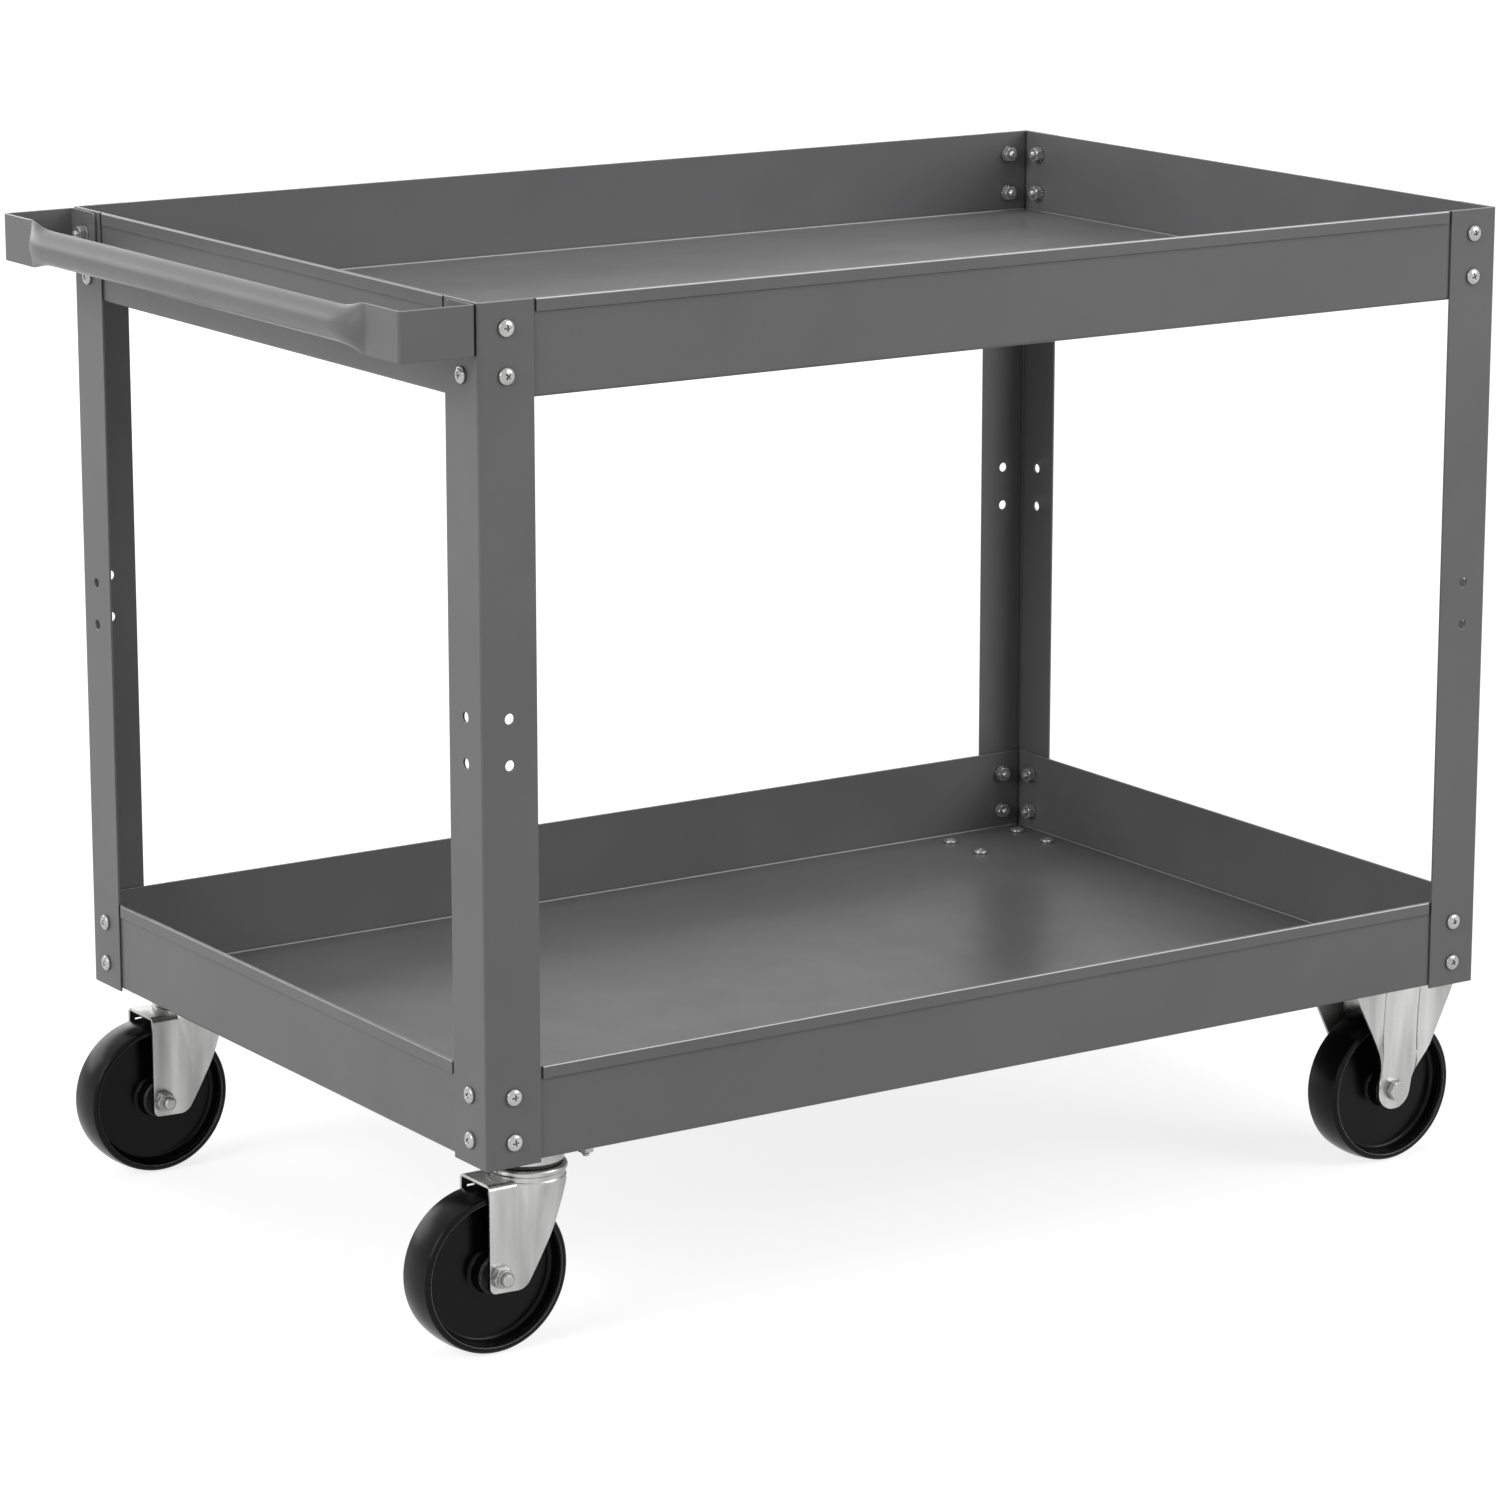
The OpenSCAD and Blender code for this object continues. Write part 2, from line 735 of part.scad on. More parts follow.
module handle() {
  color(FRAME_GREY)
    difference() {
      union() {
        for (side = [RIGHT, LEFT])
          mirror([0, side < 0 ? 1 : 0, 0])
            difference() {
              translate([0, 0, handle_mid_z - handle_h / 2])
                linear_extrude(handle_h) handle_end_outline();
              flange_trim();
            }
        grip();
      }
      at_handle_bolts() translate([0, 0, handle_t]) bolt_hole(handle_t);
    }
}

// Caster plates and forks, in a caster's own frame

module top_plate() {
  difference() {
    translate([0, 0, plate_under_z])
      linear_extrude(plate_t) round_rectangle(plate_l, plate_w, plate_corner_r);
    at_plate_bolts() translate([0, 0, caster_h]) bolt_hole(plate_t);
  }
}

// Ring groove that the balls run in
module ball_groove() {
  rotate_extrude() translate([ball_ring_r, ball_z]) circle(ball_groove_r);
}

// The kingpin up to a height, or its hole when it is grown by the running gap
module kingpin_shape(grow, top_z) {
  tail_z = kingpin_nut_top_z - kingpin_nut_h - kingpin_tail;
  r = kingpin_d / 2 + grow;
  head_r = kingpin_head_d / 2 + grow;
  rotate_extrude()
    polygon([
      [0, tail_z], [r, tail_z], [r, kingpin_top_z - kingpin_head_h],
      [head_r, kingpin_top_z - kingpin_rim], [head_r, top_z], [0, top_z]
    ]);
}

module swivel_plate(side) {
  color(ZINC)
    at_swivel(side)
      difference() {
        union() {
          top_plate();
          translate([0, 0, race_under_z]) cylinder(r = race_r, h = race_h + plate_t / 2);
        }
        ball_groove();
        kingpin_shape(kingpin_running_gap, caster_h + cut);
      }
}

module swivel_balls(side) {
  color(BRIGHT_ZINC)
    at_swivel(side)
      for (i = [0:ball_count - 1])
        rotate(i * 360 / ball_count) translate([ball_ring_r, 0, ball_z]) sphere(d = ball_d);
}

module swivel_seal(side) {
  color(SEAL_BLACK)
    at_swivel(side)
      translate([0, 0, race_under_z])
        mirror([0, 0, 1]) washer(2 * seal_r, race_gap - seal_play, 2 * (seal_r - seal_t));
}

module kingpin(side) {
  color(STEEL) at_swivel(side) kingpin_shape(0, kingpin_top_z);
}

module kingpin_washer(side) {
  color(ZINC)
    at_swivel(side)
      translate([0, 0, kingpin_nut_top_z])
        washer(kingpin_washer_d, kingpin_washer_t, kingpin_hole_d);
}

module kingpin_nut(side) {
  color(ZINC)
    at_swivel(side)
      translate([0, 0, kingpin_nut_top_z - kingpin_nut_h])
        hex_nut(kingpin_nut_af, kingpin_nut_h, kingpin_hole_d);
}

// Point on a curve of three control points
function bend_point(a, b, c, u) =
  (1 - u) * (1 - u) * a + 2 * u * (1 - u) * b + u * u * c;

// Side view of a swivel leg: X forward from the kingpin, Y up from the floor
module swivel_leg_outline() {
  axle = [-trail, axle_z];
  heel = axle + [leg_heel_r - leg_back, leg_heel_r - leg_below];
  toe = axle + [leg_toe_x, leg_toe_r - leg_toe_below];
  toe_edge = toe + leg_toe_r * [cos(leg_toe_turn), -sin(leg_toe_turn)];
  top = [leg_front, channel_z];
  knee = [leg_knee_x, (channel_z + toe[1]) / 2];
  translate(heel) circle(leg_heel_r);
  translate(toe) circle(leg_toe_r);
  polygon(concat(
    [heel + [-leg_heel_r, 0], heel + [0, -leg_heel_r], toe + [0, -leg_toe_r]],
    [for (i = [0:LEG_STEPS]) bend_point(toe_edge, knee, top, i / LEG_STEPS)],
    [[-trail - leg_back, channel_z]]
  ));
}

// Section of the channel, seen along the cart: X across, Y up from the floor
module channel_section() {
  w = fork_w / 2;
  r = channel_bend_r;
  t = leg_t;
  difference() {
    union() {
      translate([-w, 0]) square([2 * w, channel_z - r]);
      translate([r - w, 0]) square([2 * (w - r), channel_z]);
      for (x = [r - w, w - r]) translate([x, channel_z - r]) circle(r);
    }
    union() {
      translate([t - w, -cut]) square([2 * (w - t), channel_z - r + cut]);
      translate([r - w, -cut]) square([2 * (w - r), channel_z - t + cut]);
      for (x = [r - w, w - r]) translate([x, channel_z - r]) circle(r - t);
    }
  }
}

// Half section of the crown: its disc, bead and neck, and the shoulder that slopes to the legs
module crown_section() {
  bead_x = crown_r - bead_r;
  shoulder_x = neck_x + shoulder_out - shoulder_r;
  foot_z = shoulder_z - skirt_h;
  translate([0, crown_under_z]) square([bead_x, leg_t]);
  translate([bead_x, crown_z - bead_r]) circle(bead_r);
  translate([neck_x - leg_t, shoulder_z]) square([leg_t, crown_z - bead_r - shoulder_z]);
  translate([shoulder_x, shoulder_z]) circle(shoulder_r);
  polygon([
    [shoulder_x + shoulder_r - leg_t, shoulder_z], [shoulder_x + shoulder_r, shoulder_z],
    [fork_w / 2, foot_z], [fork_w / 2 - leg_t, foot_z]
  ]);
}

// Space inside the shoulder and the sloping part of the legs
module crown_hollow() {
  rotate_extrude()
    polygon([
      [0, crown_under_z], [neck_x - leg_t, crown_under_z], [neck_x - leg_t, shoulder_z],
      [neck_x + shoulder_out - leg_t, shoulder_z], [leg_inside, shoulder_z - skirt_h], [0, shoulder_z - skirt_h]
    ]);
}

// Side view of the fork, drawn across its whole width
module fork_slab() {
  translate([0, fork_w, 0]) rotate([90, 0, 0]) linear_extrude(2 * fork_w) swivel_leg_outline();
}

module swivel_fork(side) {
  tail = trail + leg_back;
  color(BRIGHT_ZINC)
    at_swivel(side)
      difference() {
        union() {
          difference() {
            intersection() {
              union() {
                translate([-tail - cut, 0, 0])
                  rotate([90, 0, 90]) linear_extrude(tail + crown_r) channel_section();
                rotate_extrude() crown_section();
              }
              fork_slab();
            }
            crown_hollow();
          }
          rotate_extrude()
            intersection() {
              crown_section();
              translate([0, channel_z - leg_t]) square([2 * crown_r, 2 * crown_rise]);
            }
        }
        translate([-2 * tail, -leg_inside, 0]) cube([4 * tail, 2 * leg_inside, channel_z - leg_t]);
        ball_groove();
        cylinder(d = kingpin_hole_d, h = caster_h);
        translate([-trail, fork_w, axle_z])
          rotate([90, 0, 0]) cylinder(d = axle_hole_d, h = 2 * fork_w);
        translate([-trail - slot_side / 2, 0, axle_z + slot_rise - slot_side / 2])
          cube([slot_side, fork_w, slot_side]);
      }
}

// Rigid fork

// Half the width of a rigid leg at a height above the axle, over its round end
function rigid_side(h) =
  let (d = h - rigid_taper_start)
    rigid_half_low + rigid_taper * (d + sqrt(d * d + rigid_taper_soft * rigid_taper_soft)) / 2;

function rigid_half(h) = h < 0 ? sqrt(max(0, rigid_end_r * rigid_end_r - h * h)) : rigid_side(h);

function ease(u) = u * u * (3 - 2 * u);

// Ring round a rigid leg at a height above the axle: its flat panel with a wing on each side
function rigid_ring(h) =
  let (
    up = min(1, max(0, (h - axle_seat_r) / (rigid_top - axle_seat_r))),
    panel_y = fork_w / 2 + up * (rigid_panel_w - fork_w) / 2,
    wing_y = fork_w / 2 + ease(min(1, max(0, h) / wing_rise_h)) * (plate_w - fork_w) / 2,
    half = rigid_half(min(h, rigid_top)),
    crease = min(panel_share * half, panel_half_low + (panel_half_top - panel_half_low) * up),
    z = axle_z + h
  )
  [
    [-half, wing_y, z], [-crease, panel_y, z], [crease, panel_y, z], [half, wing_y, z],
    [half, wing_y - leg_t, z], [crease, panel_y - leg_t, z], [-crease, panel_y - leg_t, z],
    [-half, wing_y - leg_t, z]
  ];

module rigid_leg() {
  heights = concat(
    [for (i = [1:LEG_STEPS]) -rigid_end_r * cos(90 * i / (LEG_STEPS + 1))],
    [for (i = [0:RIGID_STEPS]) axle_seat_r + (rigid_top - axle_seat_r) * i / RIGID_STEPS],
    [rigid_top + plate_t / 2]
  );
  skin([for (h = heights) rigid_ring(h)]);
}

module rigid_fork(side) {
  color(BRIGHT_ZINC)
    at_rigid(side)
      difference() {
        union() {
          top_plate();
          for (y = [0, 1]) mirror([0, y, 0]) rigid_leg();
        }
        translate([0, fork_w, axle_z])
          rotate([90, 0, 0]) cylinder(d = axle_hole_d, h = 2 * fork_w);
      }
}

// Axles, with +Z of the drawing along the axle

// Turns a piece drawn along +Z onto the axle of a caster whose wheel centre is at x
module on_axle(x, head_side) {
  translate([x, 0, axle_z]) rotate([head_side > 0 ? -90 : 90, 0, 0]) children();
}

// Bolt with its head's seat on the fork's face at +Z
module axle_bolt() {
  length = fork_w + axle_nut_h + axle_tail;
  translate([0, 0, fork_w / 2]) {
    hexagon(axle_af, axle_head_h);
    rotate_extrude()
      polygon([
        [0, 0], [axle_d / 2, 0], [axle_d / 2, axle_tip - length], [axle_d / 2 - axle_tip, -length], [0, -length]
      ]);
  }
}

// Locknut on the fork's face at -Z, with the round collar that holds its insert
module axle_locknut() {
  translate([0, 0, -fork_w / 2])
    mirror([0, 0, 1])
      difference() {
        union() {
          hexagon(axle_af, axle_nut_h - collar_h);
          cylinder(d = axle_af - collar_step, h = axle_nut_h);
        }
        translate([0, 0, -cut]) cylinder(d = axle_d + thread_play, h = axle_nut_h + 2 * cut);
      }
}

module axle_sleeve() {
  translate([0, 0, -leg_inside])
    difference() {
      cylinder(d = sleeve_d, h = 2 * leg_inside);
      translate([0, 0, -cut]) cylinder(d = axle_hole_d, h = 2 * (leg_inside + cut));
    }
}

// Half section of a wheel: X is the radius, Y the axle, with the part above the middle drawn
module wheel_half_section() {
  r = wheel_d / 2;
  half = wheel_w / 2;
  edge = tread_edge_r;
  crown_arc_r = (pow(half - edge, 2) + pow(tread_crown, 2)) / (2 * tread_crown);
  web = web_t / 2;
  hub_half = leg_inside - hub_side_gap;
  hub_r = hub_d / 2;
  bore_r = sleeve_d / 2 + hub_running_gap;
  shoulder = r - tread_crown - edge;
  ring_in = shoulder - rim_ring;
  rim_in = ring_in - rim_slope;
  f = web_fillet_r;
  lean = atan(rim_slope / (half - web));
  fillet_run = f / tan((90 + lean) / 2);
  fillet_end = [rim_in + fillet_run * sin(lean), web + fillet_run * cos(lean)];
  difference() {
    union() {
      polygon([
        [bore_r, 0], [shoulder, 0], [shoulder, half], [ring_in, half], [rim_in, web],
        [hub_r + f, web], [hub_r, web + f], [hub_r, hub_half - hub_chamfer],
        [hub_r - hub_chamfer, hub_half],
        [bore_r, hub_half]
      ]);
      intersection() {
        translate([shoulder - lap, 0]) square([edge + tread_crown + lap, half - edge]);
        translate([r - crown_arc_r, 0]) circle(crown_arc_r, $fn = FINE);
      }
      translate([shoulder, half - edge]) circle(edge);
      difference() {
        polygon([
          [rim_in - fillet_run, web + f], [rim_in - fillet_run, web - lap],
          [fillet_end[0] + lap, web - lap], [fillet_end[0] + lap, fillet_end[1]], fillet_end
        ]);
        translate([rim_in - fillet_run, web + f]) circle(f);
      }
    }
    translate([hub_r + f, web + f]) circle(f);
  }
}

module wheel() {
  rotate_extrude() {
    wheel_half_section();
    mirror([0, 1]) wheel_half_section();
  }
}

module swivel_axle(side) {
  color(BRIGHT_ZINC) at_swivel(side) on_axle(-trail, 1) axle_bolt();
}

module swivel_axle_nut(side) {
  color(BRIGHT_ZINC) at_swivel(side) on_axle(-trail, 1) axle_locknut();
}

module swivel_sleeve(side) {
  color(STEEL) at_swivel(side) on_axle(-trail, 1) axle_sleeve();
}

module swivel_wheel(side) {
  color(WHEEL_BLACK) at_swivel(side) on_axle(-trail, 1) wheel();
}

module rigid_axle(side) {
  color(BRIGHT_ZINC) at_rigid(side) on_axle(0, -1) axle_bolt();
}

module rigid_axle_nut(side) {
  color(BRIGHT_ZINC) at_rigid(side) on_axle(0, -1) axle_locknut();
}

module rigid_sleeve(side) {
  color(STEEL) at_rigid(side) on_axle(0, -1) axle_sleeve();
}

module rigid_wheel(side) {
  color(WHEEL_BLACK) at_rigid(side) on_axle(0, -1) wheel();
}

in_frame() upper_shelf();
in_frame() lower_shelf();
in_frame() post(HANDLE_END, RIGHT);  // post_handle_right
in_frame() post(HANDLE_END, LEFT);  // post_handle_left
in_frame() post(FRONT_END, RIGHT);  // post_front_right
in_frame() post(FRONT_END, LEFT);  // post_front_left
in_frame() handle();
in_frame() handle_bolts();
in_frame() handle_washers();
in_frame() handle_nuts();
in_frame() shelf_bolts(upper_rows, in_handle_row);  // upper_shelf_bolts
in_frame() shelf_washers(upper_rows, in_handle_row);  // upper_shelf_washers
in_frame() shelf_nuts(upper_rows, in_handle_row);  // upper_shelf_nuts
in_frame() shelf_bolts(lower_rows, no_handle_row);  // lower_shelf_bolts
in_frame() shelf_washers(lower_rows, no_handle_row);  // lower_shelf_washers
in_frame() shelf_nuts(lower_rows, no_handle_row);  // lower_shelf_nuts
in_frame() caster_bolts();
in_frame() caster_nuts();
in_frame() swivel_plate(RIGHT);  // swivel_plate_right
in_frame() swivel_plate(LEFT);  // swivel_plate_left
in_frame() swivel_balls(RIGHT);  // swivel_balls_right
in_frame() swivel_balls(LEFT);  // swivel_balls_left
in_frame() swivel_seal(RIGHT);  // swivel_seal_right
in_frame() swivel_seal(LEFT);  // swivel_seal_left
in_frame() kingpin(RIGHT);  // kingpin_right
in_frame() kingpin(LEFT);  // kingpin_left
in_frame() kingpin_washer(RIGHT);  // kingpin_washer_right
in_frame() kingpin_washer(LEFT);  // kingpin_washer_left
in_frame() kingpin_nut(RIGHT);  // kingpin_nut_right
in_frame() kingpin_nut(LEFT);  // kingpin_nut_left
in_frame() swivel_fork(RIGHT);  // swivel_fork_right
in_frame() swivel_fork(LEFT);  // swivel_fork_left
in_frame() rigid_fork(RIGHT);  // rigid_fork_right
in_frame() rigid_fork(LEFT);  // rigid_fork_left
in_frame() swivel_axle(RIGHT);  // swivel_axle_right
in_frame() swivel_axle(LEFT);  // swivel_axle_left
in_frame() rigid_axle(RIGHT);  // rigid_axle_right
in_frame() rigid_axle(LEFT);  // rigid_axle_left
in_frame() swivel_axle_nut(RIGHT);  // swivel_axle_nut_right
in_frame() swivel_axle_nut(LEFT);  // swivel_axle_nut_left
in_frame() rigid_axle_nut(RIGHT);  // rigid_axle_nut_right
in_frame() rigid_axle_nut(LEFT);  // rigid_axle_nut_left
in_frame() swivel_sleeve(RIGHT);  // swivel_sleeve_right
in_frame() swivel_sleeve(LEFT);  // swivel_sleeve_left
in_frame() rigid_sleeve(RIGHT);  // rigid_sleeve_right
in_frame() rigid_sleeve(LEFT);  // rigid_sleeve_left
in_frame() swivel_wheel(RIGHT);  // swivel_wheel_right
in_frame() swivel_wheel(LEFT);  // swivel_wheel_left
in_frame() rigid_wheel(RIGHT);  // rigid_wheel_right
in_frame() rigid_wheel(LEFT);  // rigid_wheel_left
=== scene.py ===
from math import cos, pi, radians, sin

import bmesh
import bpy
from bpy.props import FloatProperty, FloatVectorProperty, IntProperty, PointerProperty
from mathutils import Euler, Matrix, Vector


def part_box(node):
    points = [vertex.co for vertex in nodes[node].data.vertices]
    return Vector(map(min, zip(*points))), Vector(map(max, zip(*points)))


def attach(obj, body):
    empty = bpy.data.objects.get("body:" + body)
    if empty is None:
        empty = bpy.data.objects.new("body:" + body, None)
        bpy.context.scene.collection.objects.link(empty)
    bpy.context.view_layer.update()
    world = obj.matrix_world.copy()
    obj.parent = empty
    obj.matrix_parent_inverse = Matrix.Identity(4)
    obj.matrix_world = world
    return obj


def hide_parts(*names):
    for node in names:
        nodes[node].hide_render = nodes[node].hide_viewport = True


bl_info = {
    "name": "Stock cart",
    "version": (1, 0, 0),
    "blender": (4, 5, 0),
    "location": "View3D > Sidebar > Cart",
    "description": "Dresses a two-shelf stock cart with its finishes and finer pieces",
    "category": "Object",
}

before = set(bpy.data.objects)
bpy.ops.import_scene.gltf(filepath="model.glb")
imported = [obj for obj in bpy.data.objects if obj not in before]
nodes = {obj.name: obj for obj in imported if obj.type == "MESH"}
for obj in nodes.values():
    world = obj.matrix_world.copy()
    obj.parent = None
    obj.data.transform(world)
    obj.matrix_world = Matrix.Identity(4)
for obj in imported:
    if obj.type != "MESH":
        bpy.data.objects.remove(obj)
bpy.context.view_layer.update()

BOTH_SIDES = ("right", "left")
ALL_CORNERS = ("handle_right", "handle_left", "front_right", "front_left")
WHITE = (1, 1, 1, 1)

# What counts as the same point, plane or flat face: metres, and radians between faces.
SAME_POINT = 0.000002
SAME_SPUN_POINT = 0.000001
SAME_PLANE = 0.0000001
SAME_FACE = radians(0.6)

# The rounded cut edges of the handle and the forks.
CUT_EDGE_ROUNDING = 0.0004
CUT_EDGE_SEGMENTS = 2
CUT_EDGE_ANGLE = radians(50)

# An edge where two faces meet more sharply than this stays a crease.
PRESSING_CREASE = radians(40)
HEAD_CREASE = radians(35)
WASHER_CREASE = radians(30)

# Radians from one bolt's recess, or one washer's teeth, to the next one's.
WALL_BOLT_TURN = 2.4
WASHER_TURN = 0.7
HANDLE_BOLT_TURN = 1.0
HANDLE_FIRST_TURN = 0.5
FLOOR_BOLT_TURN = 1.9

# The vertex attribute that marks a press line, which the finish darkens as painted shade.
PRESS_MARK = "press_line"

# A Mix node's sockets for colours.
MIX_SHARE, MIX_FIRST, MIX_SECOND, MIX_RESULT = 0, 6, 7, 2

# Soft lamps: name, place, width, height and the setting that holds the power.
LAMPS = (
    ("key_lamp", (-4.3, -0.7, 2.5), 3.0, 2.4, "key_power"),
    ("fill_lamp", (3.0, -3.8, 2.5), 3.0, 2.4, "fill_power"),
    ("back_lamp", (-0.6, 4.6, 1.7), 5.0, 1.6, "back_power"),
    ("top_lamp", (0.3, 0.4, 4.2), 3.2, 2.6, "top_power"),
)
LAMP_TARGET = Vector((0, 0, 0.45))
CAMERA_REACH = 200


# Settings

class CartPaintSettings(bpy.types.PropertyGroup):
    """The grey paint on the trays, posts and handle"""
    colour: FloatVectorProperty(
        name="Paint colour", description="Colour of the baked grey paint",
        subtype="COLOR", size=4, min=0, max=1, default=(0.150, 0.150, 0.154, 1))
    # Painted highlight: the edge colour is laid along edges and folds, and the edge width sets how
    # wide it is.
    edge_highlight_colour: FloatVectorProperty(
        name="Edge colour", description="Colour of the paint where it is thin, along the edges",
        subtype="COLOR", size=4, min=0, max=1, default=(0.84, 0.84, 0.85, 1))
    edge_width: FloatProperty(
        name="Edge width", description="Width of the bright line along folded and cut edges",
        unit="LENGTH", min=0.0001, max=0.003, default=0.0009)
    roughness: FloatProperty(
        name="Roughness", description="Middle roughness of the satin paint",
        min=0.1, max=1, default=0.33)
    peel_size: FloatProperty(
        name="Orange peel size", description="Distance between the paint's small waves",
        unit="LENGTH", min=0.0005, max=0.01, default=0.0022)
    peel_depth: FloatProperty(
        name="Orange peel depth", description="Height of the paint's small waves",
        unit="LENGTH", min=0, max=0.0005, default=0.00002)


class CartMetalSettings(bpy.types.PropertyGroup):
    """The plated and bare metal, and the rigid forks' press lines"""
    zinc_colour: FloatVectorProperty(
        name="Zinc colour", description="Colour of the zinc plating on the casters",
        subtype="COLOR", size=4, min=0, max=1, default=(0.58, 0.58, 0.57, 1))
    fastener_colour: FloatVectorProperty(
        name="Fastener colour", description="Colour of the bright zinc on bolts, nuts and washers",
        subtype="COLOR", size=4, min=0, max=1, default=(0.54, 0.54, 0.53, 1))
    steel_colour: FloatVectorProperty(
        name="Steel colour", description="Colour of the bare steel balls and sleeves",
        subtype="COLOR", size=4, min=0, max=1, default=(0.52, 0.52, 0.53, 1))
    roughness: FloatProperty(
        name="Zinc roughness", description="Middle roughness of the plating",
        min=0.05, max=1, default=0.30)
    panel_half: FloatProperty(
        name="Press line place",
        description="Distance of a rigid fork's upright press lines from its axle",
        unit="LENGTH", min=0.008, max=0.03, default=0.0175)
    press_width: FloatProperty(
        name="Press line width", description="Width of a press line's groove",
        unit="LENGTH", min=0.0003, max=0.004, default=0.0013)
    press_depth: FloatProperty(
        name="Press line depth", description="Depth of a press line's groove",
        unit="LENGTH", min=0, max=0.001, default=0.00025)


class CartWheelSettings(bpy.types.PropertyGroup):
    """The moulded wheels"""
    colour: FloatVectorProperty(
        name="Wheel colour", description="Colour of the moulded wheels",
        subtype="COLOR", size=4, min=0, max=1, default=(0.003, 0.003, 0.003, 1))
    # Painted highlight: this light colour is laid along the wheels' edges.
    edge_highlight_colour: FloatVectorProperty(
        name="Rubbed colour", description="Colour of the wheels' rubbed edges",
        subtype="COLOR", size=4, min=0, max=1, default=(0.50, 0.50, 0.50, 1))
    roughness: FloatProperty(
        name="Wheel roughness", description="Middle roughness of the moulded wheels",
        min=0.1, max=1, default=0.22)


class CartFastenerSettings(bpy.types.PropertyGroup):
    """The bolts and locking washers, and where they sit"""
    head_diameter: FloatProperty(
        name="Head diameter", description="Diameter of a bolt's pan head",
        unit="LENGTH", min=0.008, max=0.016, default=0.0124)
    head_height: FloatProperty(
        name="Head height", description="Height of a bolt's pan head",
        unit="LENGTH", min=0.002, max=0.005, default=0.00338)
    side_height: FloatProperty(
        name="Side height", description="Height of the straight side under the dome",
        unit="LENGTH", min=0.0005, max=0.003, default=0.0012)
    recess_span: FloatProperty(
        name="Recess span", description="Span of the cross recess at the top of the head",
        unit="LENGTH", min=0.003, max=0.009, default=0.0066)
    recess_width: FloatProperty(
        name="Recess width", description="Width of a wing of the cross recess",
        unit="LENGTH", min=0.0006, max=0.002, default=0.0015)
    recess_depth: FloatProperty(
        name="Recess depth", description="Depth of the cross recess",
        unit="LENGTH", min=0.0005, max=0.003, default=0.0022)
    bolt_diameter: FloatProperty(
        name="Bolt diameter", description="Outside diameter of a bolt's thread",
        unit="LENGTH", min=0.004, max=0.008, default=0.00635)
    bolt_length: FloatProperty(
        name="Bolt length", description="Length of a bolt under its head",
        unit="LENGTH", min=0.008, max=0.02, default=0.0127)
    thread_pitch: FloatProperty(
        name="Thread pitch", description="Distance from one thread to the next",
        unit="LENGTH", min=0.0006, max=0.002, default=0.00127)
    rim_to_bolt: FloatProperty(
        name="Rim to bolt", description="Depth of the upper row of bolts below a tray's rim",
        unit="LENGTH", min=0.01, max=0.03, default=0.0188)
    row_pitch: FloatProperty(
        name="Row pitch", description="Height between the two rows of bolts in a tray's wall",
        unit="LENGTH", min=0.02, max=0.05, default=0.0335)
    plate_bolt_x: FloatProperty(
        name="Plate bolts along", description="Spacing of the caster bolts along the cart",
        unit="LENGTH", min=0.05, max=0.09, default=0.073)
    plate_bolt_y: FloatProperty(
        name="Plate bolts across", description="Spacing of the caster bolts across the cart",
        unit="LENGTH", min=0.03, max=0.06, default=0.045)
    clamped_sheet: FloatProperty(
        name="Clamped sheet", description="Thickness of a post's leg and a tray's wall together",
        unit="LENGTH", min=0.001, max=0.006, default=0.0028)
    strip_thickness: FloatProperty(
        name="Handle strip", description="Thickness of the handle's strip",
        unit="LENGTH", min=0.001, max=0.004, default=0.0019)
    washer_diameter: FloatProperty(
        name="Washer diameter", description="Diameter of a locking washer over its teeth",
        unit="LENGTH", min=0.01, max=0.02, default=0.0134)
    washer_thickness: FloatProperty(
        name="Washer thickness", description="Thickness of a locking washer before its twist",
        unit="LENGTH", min=0.0003, max=0.002, default=0.001)
    washer_teeth: IntProperty(
        name="Washer teeth", description="Number of teeth on a locking washer",
        min=6, max=24, default=14)


class CartStageSettings(bpy.types.PropertyGroup):
    """The floor, the lamps and the camera"""
    floor_size: FloatProperty(
        name="Floor size", description="Side of the square floor",
        unit="LENGTH", min=5, max=200, default=80)
    floor_colour: FloatVectorProperty(
        name="Floor colour", description="Colour of the pale floor",
        subtype="COLOR", size=4, min=0, max=1, default=(0.42, 0.42, 0.42, 1))
    floor_glow: FloatProperty(
        name="Floor whiteness", description="White added to the floor as the camera sees it",
        min=0, max=1, default=0.80)
    ambient: FloatProperty(
        name="Room light", description="Strength of the even light from all round",
        min=0, max=2, default=0.30)
    key_power: FloatProperty(
        name="Key lamp", description="Power of the soft lamp at the handle's end",
        unit="POWER", min=0, max=2000, default=108)
    fill_power: FloatProperty(
        name="Fill lamp", description="Power of the soft lamp in front of the long side",
        unit="POWER", min=0, max=2000, default=112)
    back_power: FloatProperty(
        name="Back lamp", description="Power of the soft lamp behind the cart",
        unit="POWER", min=0, max=2000, default=60)
    top_power: FloatProperty(
        name="Top lamp", description="Power of the soft lamp above",
        unit="POWER", min=0, max=2000, default=52)
    camera_place: FloatVectorProperty(
        name="Camera place", description="Where the camera stands",
        subtype="TRANSLATION", unit="LENGTH", size=3, default=(-2.2914, -3.4602, 1.3160))
    camera_yaw: FloatProperty(
        name="Camera yaw",
        description="Turn of the camera from the long side toward the far end",
        subtype="ANGLE", default=radians(33.535))
    camera_pitch: FloatProperty(
        name="Camera pitch", description="Tilt of the camera below the level",
        subtype="ANGLE", default=radians(13.200))
    focal_ratio: FloatProperty(
        name="Focal ratio", description="Focal length as a share of the picture's width",
        min=0.5, max=20, default=5397.7 / 1500)


# Material building

def new_material(name):
    """An empty node material, and its tree."""
    material = bpy.data.materials.new(name)
    material.use_nodes = True
    tree = material.node_tree
    tree.nodes.clear()
    return material, tree


def feed(tree, socket, value):
    """Links another node's output to a socket, or sets the socket's own value."""
    if isinstance(value, bpy.types.NodeSocket):
        tree.links.new(value, socket)
    else:
        socket.default_value = value


